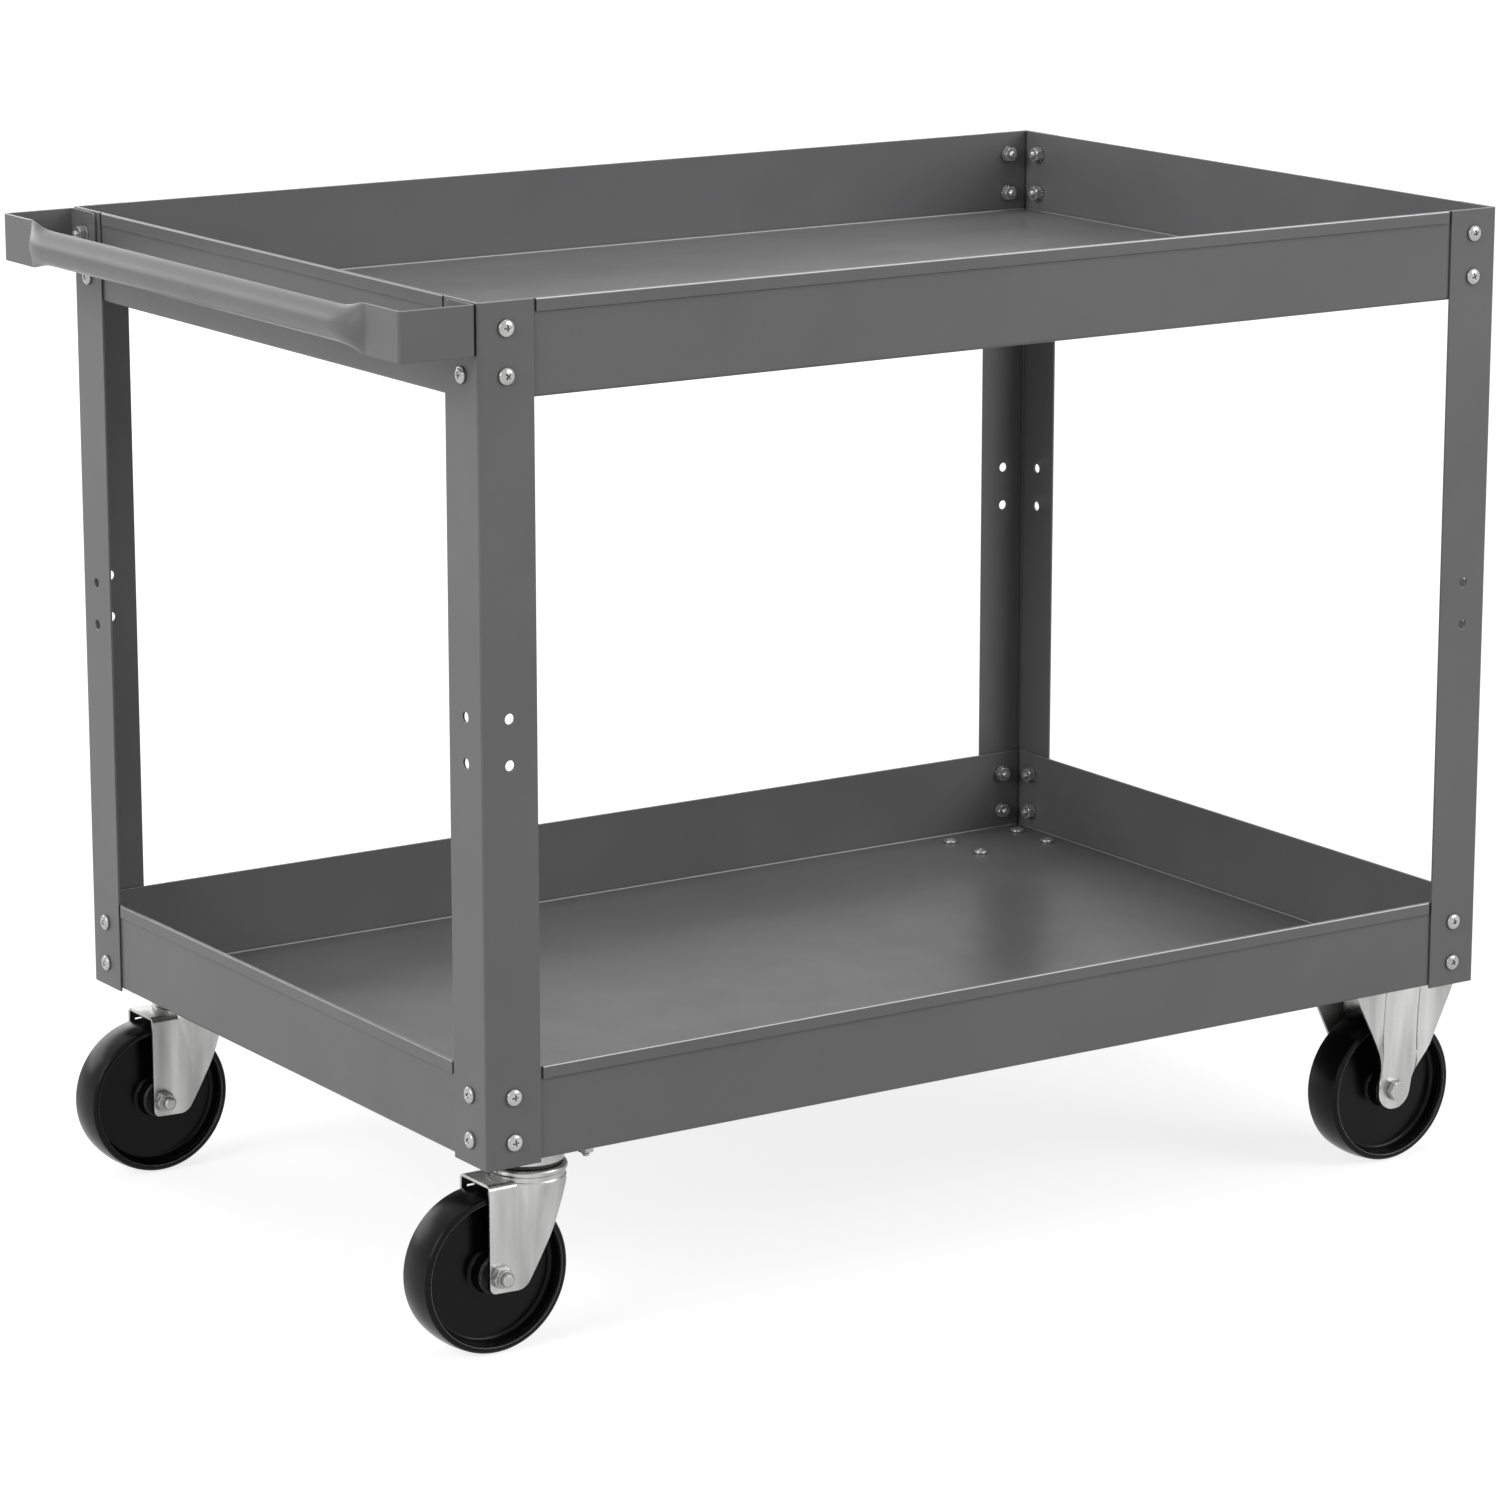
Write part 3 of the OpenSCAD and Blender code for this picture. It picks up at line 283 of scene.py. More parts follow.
def add(tree, kind, inputs=(), **settings):
    """One shader node with its settings and its input values or links."""
    made = tree.nodes.new(kind)
    for key, value in settings.items():
        setattr(made, key, value)
    for key, value in dict(inputs).items():
        feed(tree, made.inputs[key], value)
    return made


def noise(tree, place, size, detail=2.0):
    """Noise from 0 to 1 whose lumps are about size metres apart."""
    made = add(tree, "ShaderNodeTexNoise",
               {"Vector": place, "Scale": 1 / size, "Detail": detail, "Roughness": 0.5})
    return made.outputs["Fac"]


def spread(tree, value, low, high, start=0.3, end=0.7):
    """A value that goes from low to high as the given one goes from start to end."""
    made = add(tree, "ShaderNodeMapRange",
               {"Value": value, "From Min": start, "From Max": end, "To Min": low, "To Max": high})
    return made.outputs["Result"]


def mixed(tree, share, first, second):
    """Two colours mixed by a share."""
    made = add(tree, "ShaderNodeMix", {MIX_SHARE: share, MIX_FIRST: first, MIX_SECOND: second},
               data_type="RGBA", blend_type="MIX")
    return made.outputs[MIX_RESULT]


def sums(tree, kind, first, second, clamp=False):
    """One sum of two numbers."""
    made = add(tree, "ShaderNodeMath", {0: first, 1: second}, operation=kind, use_clamp=clamp)
    return made.outputs["Value"]


def shaded(colour, share):
    """A colour made darker or lighter by a share."""
    return tuple(min(1, part * share) for part in colour[:3]) + (1,)


def object_place(tree, stretch=(1, 1, 1)):
    """Object coordinates in metres, squeezed along an axis for a drawn grain."""
    place = add(tree, "ShaderNodeTexCoord").outputs["Object"]
    return add(tree, "ShaderNodeMapping", {"Vector": place, "Scale": stretch}).outputs["Vector"]


def edge_line(tree, width):
    """1 along edges within width and 0 on flat sheet, and the rounded normal."""
    sharp, flat = 0.72, 0.97
    rounded = add(tree, "ShaderNodeBevel", {"Radius": width}, samples=4).outputs["Normal"]
    true = add(tree, "ShaderNodeNewGeometry").outputs["Normal"]
    turn = add(tree, "ShaderNodeVectorMath", {0: rounded, 1: true}, operation="DOT_PRODUCT")
    return spread(tree, turn.outputs["Value"], 1, 0, start=sharp, end=flat), rounded


def crevice(tree, reach):
    """1 in narrow gaps and against neighbours within reach, 0 in the open."""
    shut, clear = 0.38, 0.84
    gap = add(tree, "ShaderNodeAmbientOcclusion", {"Distance": reach}, samples=4).outputs["AO"]
    return spread(tree, gap, 1, 0, start=shut, end=clear)


def fold_line(tree):
    """Where folds get the painted highlight: 1 where a fold or rolled rim faces halfway up, less
    at end walls and corners, else 0.
    """
    lean, near, far = 0.60, 0.15, 0.36
    end_wall_share, end_wall, long_wall = 0.35, 0.2, 0.6
    corner_share, corner_reach, corner_shut = 0.10, 0.02, 0.5
    normal = add(tree, "ShaderNodeNewGeometry").outputs["Normal"]
    parts = add(tree, "ShaderNodeSeparateXYZ", {"Vector": normal}).outputs
    off = sums(tree, "ABSOLUTE", sums(tree, "SUBTRACT", parts["Z"], lean), 0)
    fold = spread(tree, off, 1, 0, start=near, end=far)
    sideways = sums(tree, "ABSOLUTE", parts["Y"], 0)
    wall = spread(tree, sideways, end_wall_share, 1, start=end_wall, end=long_wall)
    corner = crevice(tree, corner_reach)
    corner = spread(tree, corner, 1, corner_share, start=0, end=corner_shut)
    return sums(tree, "MULTIPLY", sums(tree, "MULTIPLY", fold, wall), corner)


def bumped(tree, height, depth, normal=None):
    """A normal bumped by a height from 0 to 1 over depth metres."""
    inputs = {"Height": height, "Distance": depth, "Strength": 1.0}
    if normal is not None:
        inputs["Normal"] = normal
    return add(tree, "ShaderNodeBump", inputs).outputs["Normal"]


def finish_shader(tree, colour, roughness, normal, **fixed):
    """The surface shader; fixed holds the inputs that are the same all over."""
    shader = add(tree, "ShaderNodeBsdfPrincipled",
                 {"Base Color": colour, "Roughness": roughness, "Normal": normal})
    for key, value in fixed.items():
        shader.inputs[key.replace("_", " ")].default_value = value
    add(tree, "ShaderNodeOutputMaterial", {"Surface": shader.outputs["BSDF"]})


# Finishes

def grey_paint(name, fold_shine):
    """Satin baked paint: faint orange peel, soft cloudiness, painted shade in gaps and a painted
    highlight along edges and folds.
    """
    look = bpy.context.scene.cart_paint
    cloud_size, cloud_shade = 0.12, 0.06
    speck_size, speck_share, speck_tone = 0.0012, 0.05, 1.9
    # The next line sets the painted shade in narrow gaps; the line after it sets the painted
    # highlight on edges at the sides and on top.
    shade_reach, shade_share, shade_tone = 0.004, 0.9, 0.15
    side_highlight, top_highlight = 0.11, 0.90
    sheen_size, glossier, duller, edge_glossier = 0.05, 0.03, 0.04, 0.06
    material, tree = new_material(name)
    place = object_place(tree)
    edge, rounded = edge_line(tree, look.edge_width)

    clouds = spread(tree, noise(tree, place, cloud_size, detail=3), 0, 1)
    dark = shaded(look.colour, 1 - cloud_shade)
    colour = mixed(tree, clouds, dark, shaded(look.colour, 1 + cloud_shade))
    specks = noise(tree, place, speck_size, detail=1)
    specks = spread(tree, specks, 0, speck_share, start=0.55, end=0.8)
    colour = mixed(tree, specks, colour, shaded(look.colour, speck_tone))
    # Painted shade: the paint is darker in narrow gaps and against neighbouring parts.
    painted_shade = sums(tree, "MULTIPLY", crevice(tree, shade_reach), shade_share)
    colour = mixed(tree, painted_shade, colour, shaded(look.colour, shade_tone))

    # Painted highlight: edges take the light edge colour, more where they face up, and so do folds
    # that face halfway up.
    upward = add(tree, "ShaderNodeSeparateXYZ", {"Vector": rounded}).outputs["Z"]
    upward = spread(tree, upward, side_highlight, top_highlight, start=0.2, end=0.6)
    painted_highlight = sums(tree, "MULTIPLY", edge, upward)
    fold_highlight = sums(tree, "MULTIPLY", fold_line(tree), fold_shine)
    painted_highlight = sums(tree, "MAXIMUM", painted_highlight, fold_highlight)
    colour = mixed(tree, painted_highlight, colour, tuple(look.edge_highlight_colour))

    sheen = noise(tree, place, sheen_size)
    rough = spread(tree, sheen, look.roughness - glossier, look.roughness + duller)
    rough = sums(tree, "SUBTRACT", rough, sums(tree, "MULTIPLY", edge, edge_glossier))
    peel = noise(tree, place, look.peel_size, detail=1)
    normal = bumped(tree, peel, look.peel_depth, rounded)
    finish_shader(tree, colour, rough, normal, Specular_IOR_Level=0.32)
    return material


def plated_metal(name, colour, roughness, tint, grain_size, grain_depth, edge_width, streak,
                 rub, metallic):
    """Zinc or steel: streaks that are partly the plating's uneven tone and partly painted
    reflection, painted shade in gaps and press lines, and a painted highlight along edges.
    """
    cloud_size, glossier, duller, grain_rough = 0.024, 0.05, 0.06, 0.03
    # The painted shade in gaps and the painted highlight along edges are set here.
    shade_reach, shade_share, shade_tone, rub_share = 0.003, 0.85, 0.12, 0.8
    material, tree = new_material(name)
    clouds = noise(tree, object_place(tree, (1, 1, streak)), cloud_size, detail=3)
    grain = noise(tree, object_place(tree), grain_size, detail=2)
    edge, rounded = edge_line(tree, edge_width)

    # Dark and light streaks: partly the plating's uneven tone, partly painted reflection.
    dark_streak = tuple(part * share for part, share in zip(colour[:3], tint)) + (1,)
    finish = mixed(tree, spread(tree, clouds, 0, 1), dark_streak, tuple(colour))
    # Painted shade: the metal is darker in narrow gaps and along the press lines.
    shade_colour = shaded(colour, shade_tone)
    painted_shade = sums(tree, "MULTIPLY", crevice(tree, shade_reach), shade_share)
    finish = mixed(tree, painted_shade, finish, shade_colour)
    press_line_shade = add(tree, "ShaderNodeAttribute", attribute_name=PRESS_MARK).outputs["Fac"]
    finish = mixed(tree, press_line_shade, finish, shade_colour)
    # Painted highlight: the metal is lighter along the edges.
    rubbed = sums(tree, "MULTIPLY", edge, rub_share)
    finish = mixed(tree, rubbed, finish, shaded(colour, rub))

    rough = spread(tree, clouds, roughness + duller, roughness - glossier)
    rough = sums(tree, "ADD", rough, spread(tree, grain, -grain_rough, grain_rough))
    normal = bumped(tree, grain, grain_depth, rounded)
    finish_shader(tree, finish, rough, normal, Metallic=metallic)
    return material


def wheel_plastic(name):
    """Black moulded wheel: a slightly uneven semi-gloss skin with a painted highlight along its
    edges.
    """
    look = bpy.context.scene.cart_wheel
    cloud_size, cloud_tone, glossier, duller = 0.03, 1.6, 0.04, 0.06
    skin_size, skin_depth, edge_width, rub_share = 0.0009, 0.00002, 0.0012, 0.8
    material, tree = new_material(name)
    place = object_place(tree)
    clouds = noise(tree, place, cloud_size, detail=4)
    edge, rounded = edge_line(tree, edge_width)
    light = shaded(look.colour, cloud_tone)
    colour = mixed(tree, spread(tree, clouds, 0, 1), tuple(look.colour), light)
    # Painted highlight: the plastic is lighter along the edges.
    rubbed = sums(tree, "MULTIPLY", edge, rub_share)
    colour = mixed(tree, rubbed, colour, tuple(look.edge_highlight_colour))
    rough = spread(tree, clouds, look.roughness - glossier, look.roughness + duller)
    normal = bumped(tree, noise(tree, place, skin_size, detail=2), skin_depth, rounded)
    finish_shader(tree, colour, rough, normal, Specular_IOR_Level=0.13)
    return material


def seal_rubber(name):
    """Soft dark seal: matt, with a fine grain."""
    grain_size, grain_depth, least_rough, most_rough = 0.0008, 0.00005, 0.55, 0.7
    dark, light = (0.018, 0.018, 0.019, 1), (0.032, 0.032, 0.034, 1)
    material, tree = new_material(name)
    grain = noise(tree, object_place(tree), grain_size, detail=2)
    colour = mixed(tree, spread(tree, grain, 0, 1), dark, light)
    rough = spread(tree, grain, least_rough, most_rough)
    finish_shader(tree, colour, rough, bumped(tree, grain, grain_depth))
    return material


def shared(name, maker, **details):
    """A material made once and then used again."""
    return bpy.data.materials.get(name) or maker(name, **details)


def paint_finish():
    """The paint on the posts and the handle."""
    return shared("satin_paint", grey_paint, fold_shine=0.0)


def tray_finish():
    """The same paint on the trays, whose rolled rims and folds get a painted highlight."""
    return shared("tray_paint", grey_paint, fold_shine=0.95)


def caster_finish():
    """Zinc on the casters' pressings, in upright streaks that are partly the plating's tone and
    partly painted reflection.
    """
    look = bpy.context.scene.cart_metal
    return shared(
        "plated_pressings", plated_metal, colour=look.zinc_colour, roughness=look.roughness,
        tint=(0.46, 0.46, 0.46), grain_size=0.0011, grain_depth=0.00001, edge_width=0.0006,
        streak=0.10, rub=1.6, metallic=1.0)


def fastener_finish():
    """Brighter zinc on the bolts, nuts and washers."""
    look = bpy.context.scene.cart_metal
    return shared(
        "plated_fasteners", plated_metal, colour=look.fastener_colour,
        roughness=look.roughness - 0.12, tint=(0.75, 0.75, 0.74), grain_size=0.0008,
        grain_depth=0.000006, edge_width=0.0005, streak=1.0, rub=1.8, metallic=0.55)


def steel_finish():
    """Bare steel of the balls and sleeves."""
    look = bpy.context.scene.cart_metal
    return shared(
        "bare_steel", plated_metal, colour=look.steel_colour, roughness=look.roughness - 0.08,
        tint=(0.9, 0.9, 0.9), grain_size=0.0006, grain_depth=0.000004, edge_width=0.0003,
        streak=1.0, rub=1.5, metallic=1.0)


def wheel_finish():
    """The wheels' moulded plastic."""
    return shared("moulded_black", wheel_plastic)


def seal_finish():
    """The seals' rubber."""
    return shared("matt_seal", seal_rubber)


def dress(material, *names):
    """Gives carried-over solids their finish."""
    for name in names:
        slots = nodes[name].material_slots
        if not slots:
            nodes[name].data.materials.append(material)
        for slot in slots:
            slot.material = material


# Shaping

def placed(name, shape, material, body, stands_for):
    """A finished piece from a bmesh, riding on its body in place of its solid."""
    mesh = bpy.data.meshes.new(name)
    shape.to_mesh(mesh)
    shape.free()
    piece = bpy.data.objects.new(name, mesh)
    bpy.context.collection.objects.link(piece)
    mesh.materials.append(material)
    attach(piece, body)
    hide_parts(stands_for)
    return piece


def smooth_by_angle(shape, angle):
    """Smooth faces, creased where two meet more sharply than angle."""
    for face in shape.faces:
        face.smooth = True
    for edge in shape.edges:
        edge.smooth = not edge.is_manifold or edge.calc_face_angle() < angle


def level_normals(piece):
    """Keeps broad faces flat beside their softened edges."""
    levelled = piece.modifiers.new("level_normals", "WEIGHTED_NORMAL")
    levelled.keep_sharp = True


def pressed_line(shape, across, width, depth):
    """An upright groove in the outer faces where X is across, marked for painted shade in the
    finish.
    """
    on_line, least_outward = 0.000001, 0.8
    for step in (-1, 0, 1):
        bmesh.ops.bisect_plane(
            shape, geom=shape.verts[:] + shape.edges[:] + shape.faces[:], dist=SAME_PLANE,
            plane_co=(across + step * width / 2, 0, 0), plane_no=(1, 0, 0))
    shape.normal_update()
    mark = shape.verts.layers.float[PRESS_MARK]
    middle = sum(corner.co.y for corner in shape.verts) / len(shape.verts)
    for corner in shape.verts:
        outward = corner.normal.y * (corner.co.y - middle) > 0
        facing_side = outward and abs(corner.normal.y) > least_outward
        if facing_side and abs(corner.co.x - across) < on_line:
            corner.co -= corner.normal * depth
            corner[mark] = 1


def softened(name, new_name, material, body, press_lines=()):
    """A merged copy of one solid whose cut edges are rounded, in the solid's place."""
    look = bpy.context.scene.cart_metal
    shape = bmesh.new()
    shape.verts.layers.float.new(PRESS_MARK)
    shape.from_mesh(nodes[name].data)
    bmesh.ops.remove_doubles(shape, verts=shape.verts, dist=SAME_POINT)
    bmesh.ops.dissolve_limit(
        shape, angle_limit=SAME_FACE, verts=shape.verts, edges=shape.edges,
        use_dissolve_boundaries=False)
    cut_edges = [edge for edge in shape.edges
                 if edge.is_manifold and edge.calc_face_angle() > CUT_EDGE_ANGLE]
    bmesh.ops.bevel(
        shape, geom=cut_edges, offset=CUT_EDGE_ROUNDING, offset_type="OFFSET",
        segments=CUT_EDGE_SEGMENTS, profile=0.5, affect="EDGES", clamp_overlap=True, material=-1)
    for across in press_lines:
        pressed_line(shape, across, look.press_width, look.press_depth)
    smooth_by_angle(shape, PRESSING_CREASE)
    level_normals(placed(new_name, shape, material, body, name))


def spun(section, steps):
    """A line of (radius, height) points spun about Z; it ends on the axis or where it starts."""
    shape = bmesh.new()
    corners = [shape.verts.new((radius, 0, height)) for radius, height in section]
    edges = [shape.edges.new(pair) for pair in zip(corners, corners[1:])]
    bmesh.ops.spin(
        shape, geom=corners + edges, cent=(0, 0, 0), axis=(0, 0, 1), dvec=(0, 0, 0),
        angle=2 * pi, steps=steps, use_merge=True)
    bmesh.ops.remove_doubles(shape, verts=shape.verts, dist=SAME_SPUN_POINT)
    bmesh.ops.recalc_face_normals(shape, faces=shape.faces)
    return shape


def cut_by(shape, cutters):
    """The bmesh with the cutters' shapes taken out of it."""
    blanks = []
    for part in [shape] + cutters:
        mesh = bpy.data.meshes.new("blank")
        part.to_mesh(mesh)
        part.free()
        blanks.append(bpy.data.objects.new("blank", mesh))
        bpy.context.collection.objects.link(blanks[-1])
    for cutter in blanks[1:]:
        cut = blanks[0].modifiers.new("cut", "BOOLEAN")
        cut.operation = "DIFFERENCE"
        cut.object = cutter
        cut.solver = "EXACT"
    result = bmesh.new()
    result.from_object(blanks[0], bpy.context.evaluated_depsgraph_get())
    for blank in blanks:
        mesh = blank.data
        bpy.data.objects.remove(blank)
        bpy.data.meshes.remove(mesh)
    return result


def recess_wing(look, turn):
    """One wing of the cross recess: a bar that narrows toward its foot."""
    foot_share, top_share = (0.10, 0.40, 1), (1.9, 1.6, 1)
    bar = (look.recess_span, look.recess_width, 2 * look.recess_depth)
    wing = bmesh.new()
    bmesh.ops.create_cube(wing, size=1)
    bmesh.ops.scale(wing, vec=bar, verts=wing.verts)
    foot = [corner for corner in wing.verts if corner.co.z < 0]
    bmesh.ops.scale(wing, vec=foot_share, verts=foot)
    top = [corner for corner in wing.verts if corner.co.z > 0]
    bmesh.ops.scale(wing, vec=top_share, verts=top)
    bmesh.ops.translate(wing, vec=(0, 0, look.head_height), verts=wing.verts)
    bmesh.ops.rotate(
        wing, cent=(0, 0, 0), matrix=Matrix.Rotation(turn, 3, "Z"), verts=wing.verts)
    return wing


def pan_head_bolt(look, length):
    """A pan-head bolt along Z with its seat at 0: domed head, cross recess and threads."""
    seat_rounding, tip_rounding, thread_depth = 0.0006, 0.0004, 0.45
    dome_steps, round_steps = 9, 32
    radius = look.head_diameter / 2
    rise = look.head_height - look.side_height
    section = [(0, look.head_height)]
    for step in range(dome_steps - 1, -1, -1):
        angle = step * pi / (2 * dome_steps)
        section.append((radius * cos(angle), look.side_height + rise * sin(angle)))
    section += [(radius, seat_rounding / 2), (radius - seat_rounding / 2, 0)]
    crest = look.bolt_diameter / 2
    root = crest - look.thread_pitch * thread_depth
    section.append((root, 0))
    for turn in range(int(length / look.thread_pitch)):
        start = turn * look.thread_pitch
        section.append((crest, -start - look.thread_pitch / 2))
        section.append((root, -start - look.thread_pitch))
    section += [(root - tip_rounding, -length), (0, -length)]
    return cut_by(spun(section, round_steps), [recess_wing(look, 0), recess_wing(look, pi / 2)])


def toothed_washer(look):
    """A locking washer along Z from 0 up, with twisted teeth round its rim."""
    clearance, steps_per_tooth = 0.00005, 4
    tooth_start, twist_end, tooth_end, twist, notch = 0.1, 0.4, 0.65, 0.25, 0.86
    inner = look.bolt_diameter / 2 + clearance
    outer = look.washer_diameter / 2
    thick = look.washer_thickness
    section = [(inner, 0), (outer, 0), (outer, thick), (inner, thick), (inner, 0)]
    ring = spun(section, look.washer_teeth * steps_per_tooth)
    for corner in ring.verts:
        if corner.co.xy.length > (inner + outer) / 2:
            round_share = (corner.co.xy.angle_signed(Vector((1, 0))) / (2 * pi)) % 1
            tooth_share = round_share * look.washer_teeth % 1
            if tooth_start < tooth_share < twist_end:
                corner.co.z += thick * twist
            elif not tooth_start < tooth_share < tooth_end:
                corner.co.xy *= notch
    return ring


def repeated(master, frames):
    """One bmesh with the master placed in every frame; the master is used up."""
    shape = bmesh.new()
    mesh = bpy.data.meshes.new("blank")
    master.to_mesh(mesh)
    master.free()
    for place in frames:
        mesh.transform(place)
        shape.from_mesh(mesh)
        mesh.transform(place.inverted())
    bpy.data.meshes.remove(mesh)
    return shape


def facing(direction, point, turn):
    """The frame at point whose Z points along direction, turned about it."""
    along = Vector(direction).to_track_quat("Z", "Y").to_matrix().to_4x4()
    return Matrix.Translation(point) @ (along @ Matrix.Rotation(turn, 4, "Z"))


# Fasteners

def wall_seats(shelf, look, with_handle_row):
    """(point, outward direction) of every bolt of a tray, on the posts' outer faces."""
    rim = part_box(shelf)[1].z
    heights = (rim - look.rim_to_bolt, rim - look.rim_to_bolt - look.row_pitch)
    seats = []
    for corner in ALL_CORNERS:
        low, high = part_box(f"post_{corner}")
        inset = (high.x - low.x) / 2
        at_handle = corner.startswith("handle")
        end_x, out_x = (low.x, -1) if at_handle else (high.x, 1)
        side_y, out_y = (low.y, -1) if corner.endswith("right") else (high.y, 1)
        for row, height in enumerate(heights):
            seats.append((Vector((end_x - out_x * inset, side_y, height)), (0, out_y, 0)))
            if with_handle_row or not (at_handle and row == 0):
                seats.append((Vector((end_x, side_y - out_y * inset, height)), (out_x, 0, 0)))
    return seats


def handle_seats(look):
    """The seats of the handle's two bolts, on the upper tray's inner wall."""
    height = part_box("upper_shelf")[1].z - look.rim_to_bolt
    for side in BOTH_SIDES:
        low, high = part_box(f"post_handle_{side}")
        yield Vector((low.x + look.clamped_sheet, (low.y + high.y) / 2, height))


def floor_seats(look):
    """The seats of the casters' bolts, on the lower tray's floor."""
    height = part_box("caster_bolts")[1].z - look.head_height
    for kind in ("swivel_plate", "rigid_fork"):
        for side in BOTH_SIDES:
            low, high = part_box(f"{kind}_{side}")
            middle = (low + high) / 2
            for x in (-look.plate_bolt_x / 2, look.plate_bolt_x / 2):
                for y in (-look.plate_bolt_y / 2, look.plate_bolt_y / 2):
                    yield Vector((middle.x + x, middle.y + y, height))


def bolts(name, length, frames, stands_for):
    """Pan-head bolts of one length in their seats, as one piece."""
    heads = repeated(pan_head_bolt(bpy.context.scene.cart_fastener, length), frames)
    smooth_by_angle(heads, HEAD_CREASE)
    placed(name, heads, fastener_finish(), "cart", stands_for)


def lock_washers(name, frames, stands_for):
    """Locking washers in their places, as one piece."""
    rings = repeated(toothed_washer(bpy.context.scene.cart_fastener), frames)
    smooth_by_angle(rings, WASHER_CREASE)
    placed(name, rings, fastener_finish(), "cart", stands_for)


# Pieces

class CART_OT_trays(bpy.types.Operator):
    """The two folded trays in grey paint"""
    bl_idname = "cart.trays"
    bl_label = "Trays"

    def execute(self, context):
        dress(tray_finish(), "upper_shelf", "lower_shelf")
        return {"FINISHED"}


class CART_OT_posts(bpy.types.Operator):
    """The four corner posts in grey paint"""
    bl_idname = "cart.posts"
    bl_label = "Corner posts"

    def execute(self, context):
        dress(paint_finish(), *(f"post_{corner}" for corner in ALL_CORNERS))
        return {"FINISHED"}


class CART_OT_handle(bpy.types.Operator):
    """The bent push handle in grey paint"""
    bl_idname = "cart.handle"
    bl_label = "Push handle"

    def execute(self, context):
        softened("handle", "push_handle", paint_finish(), "cart")
        return {"FINISHED"}


class CART_OT_fasteners(bpy.types.Operator):
    """Bolts, nuts and washers in bright zinc"""
    bl_idname = "cart.fasteners"
    bl_label = "Bolts and nuts"

    def execute(self, context):
        look = context.scene.cart_fastener
        dress(fastener_finish(), "handle_nuts", "upper_shelf_nuts", "lower_shelf_nuts",
              "caster_nuts", "handle_washers")
        for shelf, with_handle_row in (("upper_shelf", False), ("lower_shelf", True)):
            seats = wall_seats(shelf, look, with_handle_row)
            outside = [facing(out, seat, WALL_BOLT_TURN * index)
                       for index, (seat, out) in enumerate(seats)]
            inside = [facing([-part for part in out], seat - Vector(out) * look.clamped_sheet,
                             WASHER_TURN * index)
                      for index, (seat, out) in enumerate(seats)]
            bolts(f"{shelf}_pan_heads", look.bolt_length, outside, f"{shelf}_bolts")
            lock_washers(f"{shelf}_lock_washers", inside, f"{shelf}_washers")
        ends = [facing((1, 0, 0), seat, HANDLE_FIRST_TURN + HANDLE_BOLT_TURN * index)
                for index, seat in enumerate(handle_seats(look))]
        bolts("handle_pan_heads", look.bolt_length + look.strip_thickness, ends, "handle_bolts")
        upright = [facing((0, 0, 1), seat, FLOOR_BOLT_TURN * index)
                   for index, seat in enumerate(floor_seats(look))]
        bolts("caster_pan_heads", look.bolt_length, upright, "caster_bolts")
        return {"FINISHED"}


class CART_OT_swivel_casters(bpy.types.Operator):
    """The two swivel casters: plates, races, kingpins and forks"""
    bl_idname = "cart.swivel_casters"
    bl_label = "Swivel casters"

    def execute(self, context):
        for side in BOTH_SIDES:
            dress(caster_finish(), f"swivel_plate_{side}")
            softened(f"swivel_fork_{side}", f"swivel_pressing_{side}", caster_finish(),
                     f"{side}_fork")
            dress(fastener_finish(), f"kingpin_{side}", f"kingpin_washer_{side}",
                  f"kingpin_nut_{side}")
            dress(steel_finish(), f"swivel_balls_{side}")
            dress(seal_finish(), f"swivel_seal_{side}")
        return {"FINISHED"}


class CART_OT_rigid_casters(bpy.types.Operator):
    """The two rigid casters' pressed forks"""
    bl_idname = "cart.rigid_casters"
    bl_label = "Rigid casters"

    def execute(self, context):
        look = context.scene.cart_metal
        for side in BOTH_SIDES:
            low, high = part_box(f"rigid_fork_{side}")
            middle = (low.x + high.x) / 2
            softened(f"rigid_fork_{side}", f"rigid_pressing_{side}", caster_finish(), "cart",
                     (middle - look.panel_half, middle + look.panel_half))
        return {"FINISHED"}


class CART_OT_wheels(bpy.types.Operator):
    """The four moulded wheels"""
    bl_idname = "cart.wheels"
    bl_label = "Wheels"

    def execute(self, context):
        for kind in ("swivel", "rigid"):
            dress(wheel_finish(), *(f"{kind}_wheel_{side}" for side in BOTH_SIDES))
        return {"FINISHED"}


class CART_OT_axles(bpy.types.Operator):
    """Axle bolts, locknuts and sleeves"""
    bl_idname = "cart.axles"
    bl_label = "Axles"

    def execute(self, context):
        for kind in ("swivel", "rigid"):
            for side in BOTH_SIDES:
                dress(fastener_finish(), f"{kind}_axle_{side}", f"{kind}_axle_nut_{side}")
                dress(steel_finish(), f"{kind}_sleeve_{side}")
        return {"FINISHED"}


# Stage

def seen_rays(tree):
    """1 for rays that show the background: camera, glossy and transmission rays."""
    path = add(tree, "ShaderNodeLightPath").outputs
    share = sums(tree, "ADD", path["Is Camera Ray"], path["Is Glossy Ray"], clamp=True)
    return sums(tree, "ADD", share, path["Is Transmission Ray"], clamp=True)


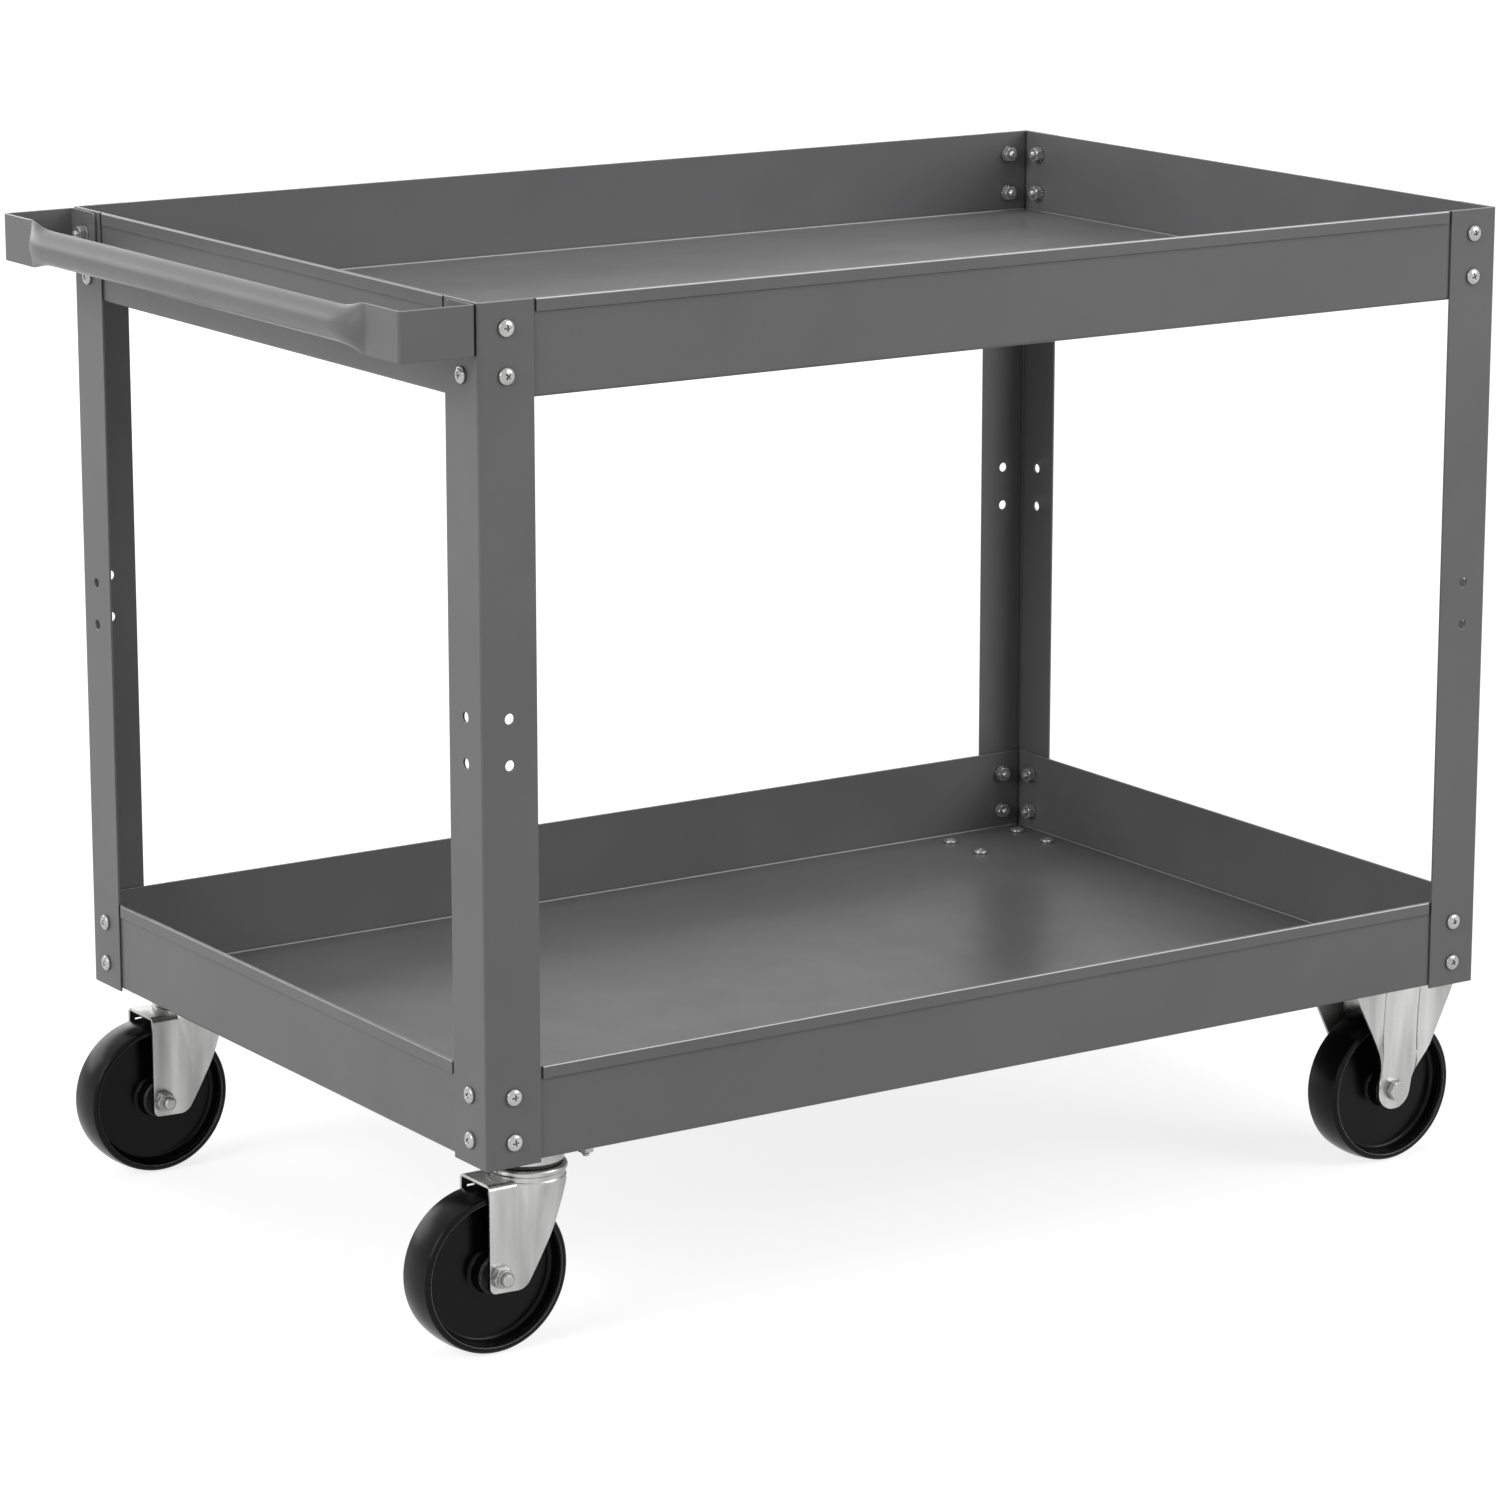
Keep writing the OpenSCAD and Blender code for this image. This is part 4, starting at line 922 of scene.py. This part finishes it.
def floor_material(look):
    """Pale floor that is white to the camera, keeps the shadow and turns all white far off."""
    grain_size, grain_tone, fade_start, fade_end = 0.4, 0.985, 1.5, 7
    material, tree = new_material("pale_floor")
    place = object_place(tree)
    grain = noise(tree, place, grain_size, detail=3)
    colour = mixed(tree, grain, shaded(look.floor_colour, grain_tone), tuple(look.floor_colour))
    diffuse = add(tree, "ShaderNodeBsdfDiffuse", {"Color": colour}).outputs["BSDF"]
    away = add(tree, "ShaderNodeVectorMath", {0: place}, operation="LENGTH").outputs["Value"]
    glow = spread(tree, away, look.floor_glow, 1, start=fade_start, end=fade_end)
    white = sums(tree, "MULTIPLY", seen_rays(tree), glow)
    light = add(tree, "ShaderNodeEmission", {"Color": WHITE, "Strength": white})
    both = add(tree, "ShaderNodeAddShader", {0: diffuse, 1: light.outputs["Emission"]})
    add(tree, "ShaderNodeOutputMaterial", {"Surface": both.outputs["Shader"]})
    return material


def white_world(strength):
    """A room that lights evenly by its strength and looks white."""
    world = bpy.data.worlds.new("room")
    world.use_nodes = True
    tree = world.node_tree
    tree.nodes.clear()
    room = add(tree, "ShaderNodeBackground", {"Color": WHITE, "Strength": strength})
    seen = add(tree, "ShaderNodeBackground", {"Color": WHITE, "Strength": 1.0})
    both = add(tree, "ShaderNodeMixShader", {
        0: seen_rays(tree), 1: room.outputs["Background"], 2: seen.outputs["Background"]})
    add(tree, "ShaderNodeOutputWorld", {"Surface": both.outputs["Shader"]})
    return world


def soft_lamp(name, place, width, height, power):
    """A soft box at place that faces the cart."""
    data = bpy.data.lights.new(name, "AREA")
    data.shape = "RECTANGLE"
    data.size = width
    data.size_y = height
    data.energy = power
    lamp = bpy.data.objects.new(name, data)
    lamp.location = place
    lamp.rotation_euler = (LAMP_TARGET - Vector(place)).to_track_quat("-Z", "Y").to_euler()
    lamp.visible_camera = False
    bpy.context.collection.objects.link(lamp)


class CART_OT_stage(bpy.types.Operator):
    """Pale floor, white background, soft lamps and the camera"""
    bl_idname = "cart.stage"
    bl_label = "Stage"

    def execute(self, context):
        scene = context.scene
        look = scene.cart_stage
        shape = bmesh.new()
        bmesh.ops.create_grid(shape, x_segments=1, y_segments=1, size=look.floor_size / 2)
        mesh = bpy.data.meshes.new("floor")
        shape.to_mesh(mesh)
        shape.free()
        floor = bpy.data.objects.new("floor", mesh)
        context.collection.objects.link(floor)
        floor.data.materials.append(floor_material(look))

        scene.world = white_world(look.ambient)
        for name, place, width, height, setting in LAMPS:
            soft_lamp(name, place, width, height, getattr(look, setting))

        data = bpy.data.cameras.new("camera")
        data.sensor_fit = "HORIZONTAL"
        data.lens = data.sensor_width * look.focal_ratio
        data.clip_end = CAMERA_REACH
        camera = bpy.data.objects.new("camera", data)
        camera.location = look.camera_place
        camera.rotation_euler = Euler((pi / 2 - look.camera_pitch, 0, -look.camera_yaw))
        context.collection.objects.link(camera)
        scene.camera = camera
        scene.view_settings.view_transform = "Standard"
        return {"FINISHED"}


PIECES = (
    CART_OT_trays,
    CART_OT_posts,
    CART_OT_handle,
    CART_OT_fasteners,
    CART_OT_swivel_casters,
    CART_OT_rigid_casters,
    CART_OT_wheels,
    CART_OT_axles,
    CART_OT_stage,
)
SETTINGS = {
    "cart_paint": CartPaintSettings,
    "cart_metal": CartMetalSettings,
    "cart_wheel": CartWheelSettings,
    "cart_fastener": CartFastenerSettings,
    "cart_stage": CartStageSettings,
}


class CART_PT_sidebar(bpy.types.Panel):
    """The cart's sizes, colours and pieces"""
    bl_label = "Stock cart"
    bl_idname = "CART_PT_sidebar"
    bl_space_type = "VIEW_3D"
    bl_region_type = "UI"
    bl_category = "Cart"

    def draw(self, context):
        for name, group in SETTINGS.items():
            box = self.layout.box()
            for key in group.__annotations__:
                box.prop(getattr(context.scene, name), key)
        for piece in PIECES:
            self.layout.operator(piece.bl_idname)


def register():
    for name, group in SETTINGS.items():
        bpy.utils.register_class(group)
        setattr(bpy.types.Scene, name, PointerProperty(type=group))
    for piece in PIECES:
        bpy.utils.register_class(piece)
    bpy.utils.register_class(CART_PT_sidebar)


def unregister():
    bpy.utils.unregister_class(CART_PT_sidebar)
    for piece in reversed(PIECES):
        bpy.utils.unregister_class(piece)
    for name, group in SETTINGS.items():
        delattr(bpy.types.Scene, name)
        bpy.utils.unregister_class(group)


def main():
    """Registers the add-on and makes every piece."""
    register()
    for piece in PIECES:
        area, name = piece.bl_idname.split(".")
        getattr(getattr(bpy.ops, area), name)()


if __name__ == "__main__":
    main()
